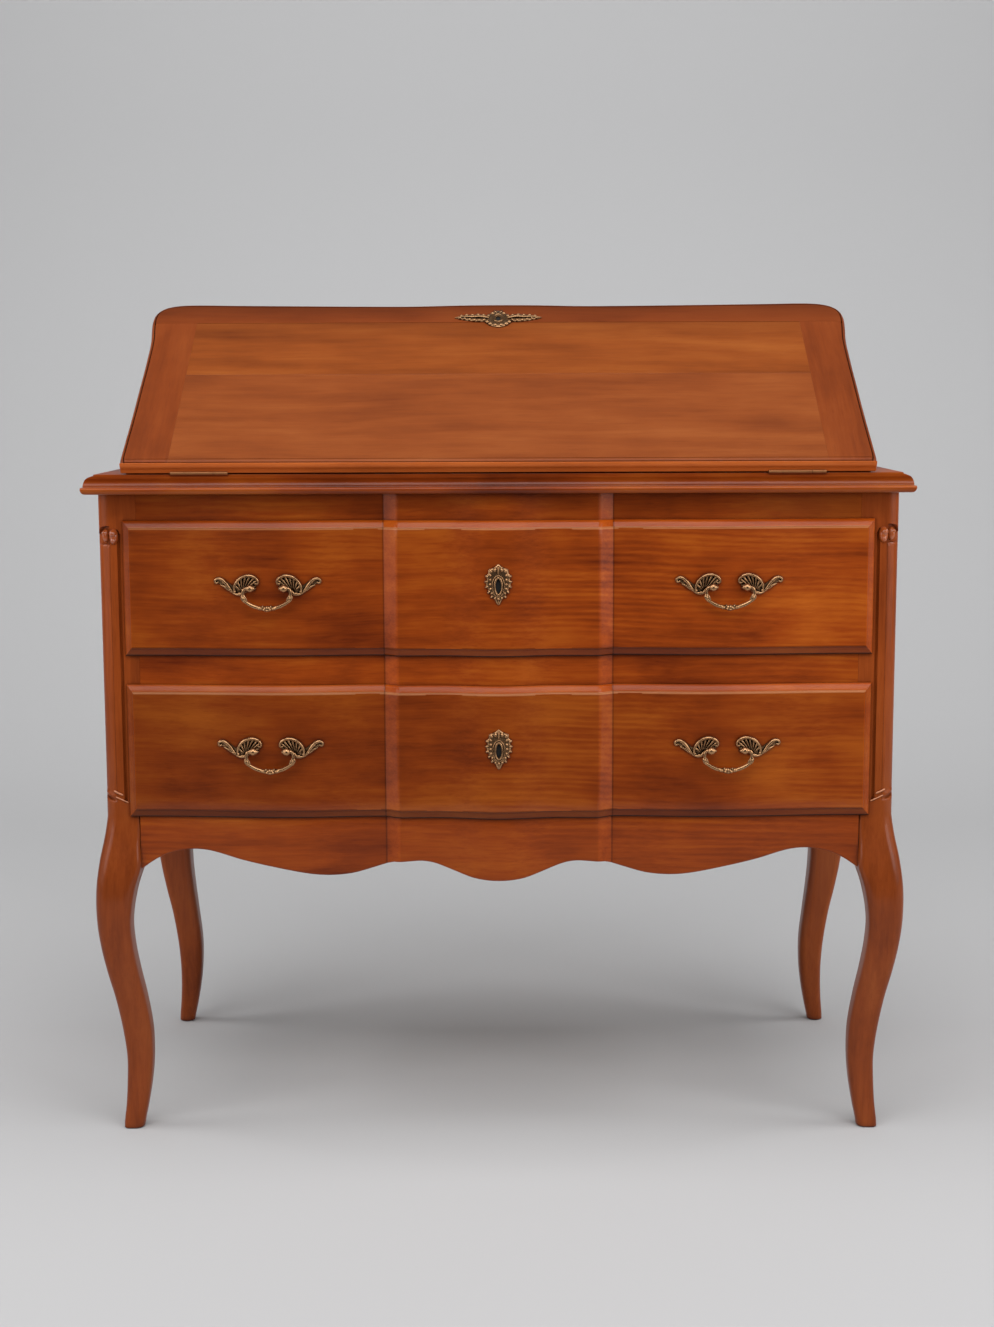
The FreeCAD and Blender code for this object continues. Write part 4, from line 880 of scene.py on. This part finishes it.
def leaf(rows, place, per=5):
    # pointed leaf with a raised midrib: rows of (x, z, half width, height)
    fine = catmull(rows, per)
    rings = []
    n = len(fine)
    for i, (x, z, w, h) in enumerate(fine):
        a, b = fine[max(0, i - 1)], fine[min(n - 1, i + 1)]
        tx, tz = b[0] - a[0], b[1] - a[1]
        L = math.hypot(tx, tz) or 1.0
        px, pz = -tz / L, tx / L
        w = max(0.12, w)
        sec = [(-1.0, 0.1), (-0.8, 0.62), (-0.45, 0.55), (-0.16, 0.92), (0.0, 1.0), (0.16, 0.92), (0.45, 0.55), (0.8, 0.62), (1.0, 0.1), (0.0, -0.4)]
        rings.append([place(x + px * w * q, z + pz * w * q, h * k) for q, k in sec])
    return loft(rings)


def handle_plates(hz):
    s = Shape()
    for c in (-HAND_X, HAND_X):
        for sg in (-1, 1):
            def on(x, z, n, c=c, sg=sg):
                return front_pt(c + sg * (x + 2.2 * (60.0 - x) / 51.0), hz + z, n)

            body = [(40.5, -9.0), (36.0, -10.0), (30.0, -12.0), (25.0, -10.5), (21.0, -7.5), (16.0, -7.0), (13.0, -4.5), (11.0, -1.0), (9.0, 3.0), (11.5, 7.5), (19.0, 9.8),
                    (27.0, 8.2), (33.5, 2.6), (37.0, -2.0), (41.0, -1.0), (46.0, 2.8), (51.0, 6.0), (56.5, 6.8), (60.0, 4.0), (57.5, 1.5), (52.0, -0.5), (47.0, -4.5)]
            s.join(plate(body, on, -0.4, 1.5))
            # outer acanthus scroll
            s.join(strip([(39.0, -9.5, 1.4, 1.2), (43.0, -5.0, 2.0, 1.9), (47.0, 0.4, 2.4, 2.1), (52.0, 5.2, 2.4, 2.0), (57.0, 6.6, 2.2, 1.7), (60.6, 4.2, 2.0, 1.4),
                          (59.3, 1.5, 2.0, 1.2), (56.8, 2.2, 2.4, 1.0)], on))
            s.join(strip([(40.5, -9.0, 1.2, 1.0), (45.5, -5.2, 1.8, 1.5), (49.8, -2.4, 1.9, 1.2), (54.0, -0.6, 1.5, 0.5)], on))
            s.join(lump(46.0, -1.6, 2.2, 1.5, 3.0, on, 40, 1.0))
            s.join(lump(50.6, 2.2, 2.0, 1.4, 3.1, on, 35, 1.0))
            s.join(lump(43.0, -6.6, 1.9, 1.5, 3.0, on, 40, 1.0))
            # ribbed shell: rim that ends in a curl, and ribs that spread from its root
            rim = [(37.0, -9.5, 1.8, 1.4), (37.4, -4.0, 2.5, 1.7), (34.6, 2.4, 3.1, 1.8), (28.2, 8.0, 3.5, 1.9), (19.6, 10.0, 3.6, 1.9), (12.6, 8.0, 3.3, 1.8),
                   (8.9, 4.0, 2.9, 1.6), (9.6, 0.8, 2.6, 1.4), (12.4, 0.6, 2.8, 1.2), (13.2, 2.8, 3.1, 0.9)]
            s.join(strip(rim, on))
            root = (27.4, -9.0)
            for k, (rx, rz) in enumerate([(36.0, -1.8), (33.2, 2.6), (29.0, 6.2), (24.0, 8.2), (18.8, 8.4), (14.4, 6.4), (12.0, 3.4)]):
                s.join(strip([(root[0] + 0.30 * (rx - root[0]), root[1] + 0.30 * (rz - root[1]), 2.2, 0.6), (root[0] + 0.65 * (rx - root[0]), root[1] + 0.65 * (rz - root[1]), 2.9, 1.0),
                              (rx, rz, 3.0, 1.35)], on, 4, 8))
                s.join(lump(rx + 0.10 * (rx - root[0]), rz + 0.10 * (rz - root[1]), 1.9, 1.7, 2.6, on, 0, 1.6))
            # lower curl below the shell
            s.join(strip([(13.4, -5.4, 2.2, 0.9), (16.6, -3.6, 3.0, 1.4), (21.0, -3.9, 3.4, 1.6), (25.2, -6.8, 3.4, 1.8), (28.6, -10.6, 2.8, 1.9), (34.0, -11.4, 2.0, 1.6), (39.0, -10.2, 1.2, 0.9)], on))
            s.join(lump(13.2, -5.2, 2.0, 1.7, 3.2, on, 0, 0.8))
            s.join(lump(31.5, -10.6, 3.0, 2.0, 3.2, on, -10, 1.0))
            s.join(lump(36.6, -8.2, 2.4, 1.7, 2.8, on, 20, 1.0))
            # post and eye for the bail
            yf = front_pt(c + sg * EAR_X, hz, 0.0)[1]
            za = hz + AXIS_DZ
            ex = c + sg * EAR_X
            prof = [(-0.5, 4.6), (1.6, 4.6), (2.2, 3.6), (3.2, 2.7), (6.0, 2.4), (7.2, 3.0), (7.8, 3.9), (9.2, 4.35), (11.5, 4.45), (13.4, 4.0), (14.8, 2.8), (15.5, 1.0)]
            s.join(loft([[(ex + r * math.cos(2 * math.pi * k / 18), yf - n, za + r * math.sin(2 * math.pi * k / 18)) for k in range(18)] for n, r in prof]))
            for q in (-1, 1):
                s.join(loft([[(ex + q * d, yf - BAIL_OUT + r * math.cos(2 * math.pi * k / 16), za + r * math.sin(2 * math.pi * k / 16)) for k in range(16)]
                             for d, r in ((1.5, 3.4), (3.4, 3.3), (3.9, 2.8), (4.1, 2.1))]))
    return s


def bail(c, hz):
    ya = front_pt(c, hz, 0.0)[1] - BAIL_OUT
    za = hz + AXIS_DZ
    bend, side_r, leg_l = 3.5, 8.0, 9.0
    d = BAIL_DROP - leg_l
    big = ((BAIL_X - side_r) ** 2 + d * d - side_r ** 2) / (2.0 * (d - side_r))
    phi = math.degrees(math.asin((BAIL_X - side_r) / (big - side_r)))
    half = [(EAR_X - 4.2, 0.0), (EAR_X, 0.0), (BAIL_X - bend, 0.0)]

    def arc(cx, cz, r, a0, a1, n):
        return [(cx + r * math.cos(math.radians(a0 + (a1 - a0) * k / n)), cz + r * math.sin(math.radians(a0 + (a1 - a0) * k / n))) for k in range(1, n + 1)]

    half += arc(BAIL_X - bend, -bend, bend, 90, 0, 6) + [(BAIL_X, -6.5), (BAIL_X, -leg_l)]
    half += arc(BAIL_X - side_r, -leg_l, side_r, 0, phi - 90, 7)
    half += arc(0.0, -BAIL_DROP + big, big, 270 + phi, 270, 26)
    pts = half + [(-x, z) for x, z in half[-2::-1]]
    rad = []
    for i, (x, z) in enumerate(pts):
        a = abs(x)
        r = BAIL_R
        if z < -4.0:
            r = 1.75 + 0.5 * math.sin(math.pi * min(1.0, max(0.0, (24.0 - a) / 17.0)))
            for at, w, h in ((8.6, 0.9, 1.0), (6.6, 0.8, 1.3)):
                r += h * math.exp(-((a - at) / w) ** 2)
            if a < 6.0:
                r = max(r, 1.9 + 1.7 * math.cos(math.pi * a / 12.0))
            r += 0.75 * math.exp(-((z + 11.5) / 1.4) ** 2) * (1.0 if a > 24 else 0.0)
        rad.append(r)
    s = tube([(c + x, ya, za + z) for x, z in pts], rad, (0, -1, 0), 14)

    def on(x, z, n):
        return (c + x, ya - n, za + z)

    # leaf knop in the middle
    for x, z, rx, rz, h in ((0.0, -BAIL_DROP - 1.7, 2.6, 1.5, 3.6), (-3.6, -BAIL_DROP - 0.6, 2.2, 2.2, 3.8), (3.6, -BAIL_DROP - 0.6, 2.2, 2.2, 3.8), (0.0, -BAIL_DROP + 1.4, 2.2, 2.6, 4.0),
                            (-4.6, -BAIL_DROP + 2.4, 1.5, 2.0, 3.0), (4.6, -BAIL_DROP + 2.4, 1.5, 2.0, 3.0)):
        s.join(lump(x, z, rx, rz, h, on, 0, 0.4))
    # small leaves where the sides turn
    for sg in (-1, 1):
        s.join(strip([(sg * 27.4, -7.0, 0.6, 0.8), (sg * 28.5, -10.4, 0.8, 1.4), (sg * 26.6, -14.2, 0.8, 1.1), (sg * 23.7, -16.7, 0.5, 0.5)], on, 4, 8))
        s.join(strip([(sg * 25.8, -7.5, 0.8, 0.6), (sg * 24.2, -10.8, 1.2, 1.1), (sg * 22.5, -14.0, 1.0, 0.6)], on, 4, 8))
    return s


def ring_plate(outer, inner, place, n0, n1):
    # plate with a hole: loops matched by direction
    loops = [[place(x, z, n0) for x, z in inner], [place(x, z, n1) for x, z in inner]]
    for k in (0.35, 0.7, 0.93):
        loops.append([place(a + (c - a) * k, b + (d - b) * k, n1 + 0.5 * math.sin(math.pi * k)) for (a, b), (c, d) in zip(inner, outer)])
    loops += [[place(x, z, n1 - 0.5) for x, z in outer], [place(x, z, n0) for x, z in outer]]
    s = loft(loops, True, False, False)
    m = len(outer)
    L = len(loops) - 1
    s.f += [(j, L * m + j, L * m + (j + 1) % m, (j + 1) % m) for j in range(m)]
    return s


def radial(rows, n):
    # outline given as (angle from the top, radius), smooth, as n points
    out = []
    for k in range(n):
        a = 360.0 * k / n
        aa = a if a <= 180 else 360 - a
        r = table_at(rows, aa)[0]
        sg = 1 if a <= 180 else -1
        out.append((sg * r * math.sin(math.radians(aa)), r * math.cos(math.radians(aa))))
    return out


def escutcheon(ke):
    def on(x, z, n):
        return front_pt(x, ke + z, n)

    s = Shape()
    rows = [(0, 23.0), (10, 20.6), (22, 19.4), (33, 20.4), (43, 17.0), (55, 17.2), (66, 14.2), (78, 15.6), (90, 13.8), (101, 15.2), (113, 12.4), (124, 14.4), (136, 13.0), (148, 16.0), (160, 16.4),
            (170, 19.0), (175, 22.5), (180, 23.5)]
    s.join(ring_plate(radial(rows, 96), [(0.30 * x, -2.2 + 0.62 * z) for x, z in radial([(0, 13.0), (45, 12.0), (90, 10.0), (135, 11.0), (180, 13.0)], 96)], on, -0.4, 1.5))
    # oval rim round the keyhole
    for a, b, r, h in ((4.2, 9.8, 1.2, 2.2), (6.9, 12.2, 0.8, 1.9)):
        oval = [(a * math.sin(2 * math.pi * k / 40), -2.2 + b * math.cos(2 * math.pi * k / 40)) for k in range(41)]
        s.join(tube([on(x, z, h) for x, z in oval], [r] * 41, (0, -1, 0), 9, 1.0, False))
    # beads and leaves round it
    side = [(3.8, 16.6, 2.0, 2.6, 25), (8.6, 15.2, 2.6, 1.9, 55), (9.4, 10.6, 2.2, 1.7, 30), (13.2, 9.2, 2.5, 1.6, 20), (9.3, 5.4, 1.9, 1.9, 0), (13.6, 3.4, 2.6, 1.5, -12), (9.4, 0.2, 2.0, 1.7, -10),
            (13.2, -2.6, 2.5, 1.5, -24), (9.0, -5.0, 2.0, 1.8, -25), (11.0, -8.6, 2.3, 1.5, -42), (7.6, -10.0, 1.9, 1.7, -40), (7.8, -14.0, 2.2, 1.5, -55), (3.9, -15.4, 2.0, 1.7, -20)]
    for x, z, rx, rz, t in side:
        s.join(lump(x, z, rx, rz, 2.3, on, t, 0.9))
        s.join(lump(-x, z, rx, rz, 2.3, on, -t, 0.9))
    s.join(leaf([(0.0, 11.0, 1.6, 2.6), (0.0, 15.0, 3.2, 3.4), (0.0, 19.0, 2.6, 3.2), (0.0, 22.8, 0.3, 1.4)], on))
    for sg in (-1, 1):
        s.join(leaf([(sg * 1.6, 13.0, 1.0, 2.4), (sg * 4.2, 17.0, 1.5, 2.8), (sg * 6.6, 19.4, 0.3, 1.6)], on))
    s.join(lump(0.0, -16.4, 2.2, 1.9, 3.0, on, 0, 0.9))
    s.join(leaf([(0.0, -17.6, 1.4, 2.4), (0.0, -20.4, 1.7, 2.6), (0.0, -24.0, 0.3, 1.2)], on))
    return s


def hole_shade(place, w, h):
    # painted shade: a near-black sheet set back behind the plate stands for the shade inside the keyhole
    loop = [(w * math.sin(2 * math.pi * k / 24), h * math.cos(2 * math.pi * k / 24)) for k in range(24)]
    return loft([[place(x, z, -0.3) for x, z in loop], [place(x, z, 0.18) for x, z in loop], [place(0.9 * x, 0.9 * z, 0.2) for x, z in loop]])


def fall_escutcheon():
    def on(x, s, n):
        return fall_pt(x, 305.0 + s, FALL_T + n)

    s = Shape()
    rows = [(0, 19.0), (18, 16.6), (40, 14.8), (62, 14.6), (90, 15.0), (112, 15.6), (135, 17.2), (158, 18.6), (180, 19.4)]
    s.join(ring_plate(radial(rows, 72), [(2.9 * math.sin(2 * math.pi * k / 72), 5.2 * math.cos(2 * math.pi * k / 72)) for k in range(72)], on, -0.4, 1.6))
    # scalloped lower rim and beaded edge
    for a in (-64, -40, -14, 14, 40, 64):
        r = 15.2
        s.join(lump(r * math.sin(math.radians(a)), -r * math.cos(math.radians(a)) - 1.2, 3.6, 2.4, 2.8, on, a, 0.8))
    for a in (-150, -118, 118, 150):
        s.join(lump(13.6 * math.sin(math.radians(a)), -13.6 * math.cos(math.radians(a)), 3.0, 2.2, 2.3, on, a, 0.8))
    oval = [(5.6 * math.sin(2 * math.pi * k / 36), 8.6 * math.cos(2 * math.pi * k / 36)) for k in range(37)]
    s.join(tube([on(x, q, 2.0) for x, q in oval], [1.2] * 37, (0, -SN, CS), 9, 1.0, False))
    for sg in (-1, 1):
        s.join(leaf([(sg * 2.0, 13.0, 1.4, 2.4), (sg * 4.4, 17.2, 1.5, 2.6), (sg * 3.2, 20.6, 0.3, 1.4)], on))
        # wing: a stem with leaves above and below, ending in a point
        wing = [(13.0, 6.5), (22.0, 10.5), (31.0, 9.5), (40.0, 9.0), (48.0, 6.0), (53.6, 2.5), (47.0, 0.0), (38.0, -4.0), (29.0, -5.5), (20.0, -6.0), (13.0, -5.0)]
        s.join(plate([(sg * x, q) for x, q in wing], on, -0.4, 1.3))
        s.join(strip([(sg * 13.0, 0.5, 2.0, 1.8), (sg * 22.0, 2.8, 2.3, 1.7), (sg * 32.0, 2.4, 2.1, 1.5), (sg * 43.0, 3.4, 1.8, 1.2), (sg * 53.4, 2.6, 1.0, 0.5)], on))
        for x, q, w, t in ((17.5, -3.6, 2.6, -25), (23.5, -4.6, 2.9, -30), (29.5, -3.8, 2.8, -25), (35.5, -2.6, 2.6, -22), (41.5, -0.6, 2.4, -18), (47.5, 1.2, 2.2, -12),
                           (18.0, 7.2, 2.8, 30), (25.0, 8.2, 3.0, 28), (32.0, 7.2, 2.8, 24), (39.0, 7.2, 2.6, 20), (45.5, 5.6, 2.3, 10)):
            s.join(lump(sg * x, q, w, 1.9, 2.5, on, sg * t, 0.7))
    return s


for k, (nm, hz, ke) in enumerate((("upper", HAND_Z[0], 0.5 * (576.0 + 732.5) + 6.0), ("lower", HAND_Z[1], 0.5 * (386.0 + 542.0) + 6.0))):
    make(nm + "_handle_plates_look", handle_plates(hz), M_BRASS, nm + "_drawer", [nm + "_handle_plates"], 50.0)
    make(nm + "_left_bail_look", bail(-HAND_X, hz), M_BRASS, nm + "_left_bail_body", [nm + "_left_bail"], 50.0)
    make(nm + "_right_bail_look", bail(HAND_X, hz), M_BRASS, nm + "_right_bail_body", [nm + "_right_bail"], 50.0)
    make(nm + "_drawer_escutcheon_look", escutcheon(ke), M_BRASS, nm + "_drawer", [nm + "_drawer_escutcheon"], 50.0)
    make(nm + "_drawer_keyhole", hole_shade(lambda x, z, n, ke=ke: front_pt(x, ke - 2.2 + z, n), 4.2, 9.0), M_HOLE_SHADE, nm + "_drawer")
make("fall_escutcheon_look", fall_escutcheon(), M_BRASS_FALL, "fall", ["fall_escutcheon"], 50.0)
make("fall_keyhole", hole_shade(lambda x, s, n: fall_pt(x, 305.0 + s, FALL_T + n), 3.4, 5.8), M_HOLE_SHADE, "fall")

# ------------------------------------------------------------------ carried-over pieces
LOOKS = {
    "left_side_panel": M_CASE_Y, "right_side_panel": M_CASE_Y, "left_side_apron": M_CASE_Y, "right_side_apron": M_CASE_Y,
    "lower_back_panel": M_INNER_X, "rear_apron": M_CASE_X, "drawer_runners": M_INNER_Y,
    "upper_left_side": M_CASE_Y, "upper_right_side": M_CASE_Y, "top_board": M_CASE_X, "upper_back_panel": M_INNER_X,
    "fitment_shelf": M_CASE_X, "drawer_partitions": M_CASE_Y, "pigeonhole_partitions": M_CASE_Y,
    "case_hinge_leaves": M_BRASS_DARK, "hinge_pins": M_BRASS_DARK, "stay_brackets": M_BRASS_PLAIN, "fall_hinge_leaves": M_BRASS_DARK,
    "fall_stay_lugs": M_BRASS_PLAIN, "left_stay_rear_arm": M_BRASS_PLAIN, "right_stay_rear_arm": M_BRASS_PLAIN,
    "left_stay_front_arm": M_BRASS_PLAIN, "right_stay_front_arm": M_BRASS_PLAIN, "fall_lock": M_STEEL,
    "small_left_drawer": M_CASE_X, "small_middle_drawer": M_CASE_X, "small_right_drawer": M_CASE_X,
}
for nm in ("upper", "lower"):
    LOOKS.update({nm + "_drawer_sides": M_INNER_Y, nm + "_drawer_back": M_INNER_X, nm + "_drawer_bottom": M_INNER_X, nm + "_drawer_lock": M_STEEL})
SOFT_EDGE = {"left_side_panel": 0.6, "right_side_panel": 0.6, "left_side_apron": 1.2, "right_side_apron": 1.2, "lower_back_panel": 0.4, "rear_apron": 1.0, "upper_left_side": 0.8,
             "upper_right_side": 0.8, "top_board": 2.0, "fitment_shelf": 0.8, "drawer_partitions": 0.6, "pigeonhole_partitions": 0.8, "upper_drawer_sides": 0.8, "lower_drawer_sides": 0.8,
             "upper_drawer_back": 0.8, "lower_drawer_back": 0.8, "small_left_drawer": 0.6, "small_middle_drawer": 0.6, "small_right_drawer": 0.6}
for nm, mat in LOOKS.items():
    ob = NODES[nm]
    ob.data.materials.clear()
    ob.data.materials.append(mat)
    if nm in SOFT_EDGE:
        w = ob.modifiers.new("weld", "WELD")
        w.merge_threshold = 1e-5
        b = ob.modifiers.new("edge", "BEVEL")
        b.width = SOFT_EDGE[nm] * MM
        b.segments = 2
        b.limit_method = "ANGLE"
        b.angle_limit = math.radians(50)

# ------------------------------------------------------------------ studio
def stage_mesh(name, verts, faces, mat, smooth=True):
    me = bpy.data.meshes.new(name)
    me.from_pydata(verts, [], faces)
    me.update()
    me.polygons.foreach_set("use_smooth", [smooth] * len(me.polygons))
    me.materials.append(mat)
    ob = bpy.data.objects.new(name, me)
    bpy.context.scene.collection.objects.link(ob)
    return ob


M_STUDIO, _nt, _b = shader("studio_grey")
_b.inputs["Base Color"].default_value = (0.515, 0.515, 0.52, 1.0)
_b.inputs["Roughness"].default_value = 0.9
_b.inputs["Specular IOR Level"].default_value = 0.1
prof = [(-1.6, 0.0), (1.2, 0.0)]
R0, Y0 = 1.6, 1.5
for k in range(25):
    t = math.radians(90.0 * k / 24)
    prof.append((Y0 + R0 * math.sin(t), R0 * (1 - math.cos(t))))
prof += [(Y0 + R0, 3.0), (Y0 + R0, 7.0)]
vs, fs = [], []
for y, z in prof:
    vs += [(-9.0, y, z), (9.0, y, z)]
for k in range(len(prof) - 1):
    fs.append((2 * k, 2 * k + 1, 2 * k + 3, 2 * k + 2))
stage_mesh("studio_sweep", vs, fs, M_STUDIO)


def area(name, loc, aim, size_x, size_y, watts, spread=180.0, colour=(1, 1, 1)):
    li = bpy.data.lights.new(name, "AREA")
    li.shape = "RECTANGLE"
    li.size, li.size_y = size_x, size_y
    li.energy = watts
    li.spread = math.radians(spread)
    li.color = colour
    ob = bpy.data.objects.new(name, li)
    ob.location = loc
    ob.rotation_euler = (Vector(aim) - Vector(loc)).to_track_quat("-Z", "Y").to_euler()
    bpy.context.scene.collection.objects.link(ob)
    return ob


area("key_right", (2.7, -2.7, 1.8), (0.1, 0.0, 0.62), 2.0, 2.2, 45.0)
area("key_left", (-2.7, -2.7, 1.8), (-0.1, 0.0, 0.62), 2.0, 2.2, 34.0)
area("front_soft", (0.0, -2.3, 2.6), (0.0, -0.1, 0.65), 2.8, 0.9, 32.0)
area("side_right", (2.7, -1.1, 0.9), (0.2, -0.3, 0.6), 2.2, 1.3, 8.0)
area("side_left", (-2.7, -1.1, 0.9), (-0.2, -0.3, 0.6), 2.2, 1.3, 6.5)
area("high_right", (2.7, -0.1, 2.3), (0.0, 0.1, 0.2), 1.2, 1.2, 24.0)
area("high_left", (-2.7, -0.1, 2.3), (0.0, 0.1, 0.2), 1.2, 1.2, 24.0)
area("top_soft", (0.0, -0.9, 3.6), (0.0, 0.2, 0.0), 3.4, 2.4, 64.0)
area("wall_wash", (0.0, 1.0, 4.4), (0.0, 3.1, 1.0), 5.0, 1.2, 20.0, 100.0)

world = bpy.data.worlds.new("studio_air")
world.use_nodes = True
wn = world.node_tree.nodes["Background"]
wn.inputs["Color"].default_value = (0.92, 0.95, 1.0, 1.0)
wn.inputs["Strength"].default_value = 0.07
bpy.context.scene.world = world
bpy.context.scene.view_settings.view_transform = "Standard"
bpy.context.scene.view_settings.look = "None"
bpy.context.scene.view_settings.exposure = 0.0
bpy.context.scene.view_settings.gamma = 1.0

cam = bpy.data.cameras.new("photo_camera")
cam.sensor_width = 36.0
cam.lens = 54.26
cam.clip_end = 60.0
co = bpy.data.objects.new("photo_camera", cam)
co.location = (0.0075, -2.4945, 0.885)
co.rotation_euler = (Matrix.Rotation(math.radians(0.237), 4, "Z") @ Matrix.Rotation(math.radians(90.0 - 7.927), 4, "X")
                     @ Matrix.Rotation(math.radians(-0.19), 4, "Z")).to_euler()
bpy.context.scene.collection.objects.link(co)
bpy.context.scene.camera = co
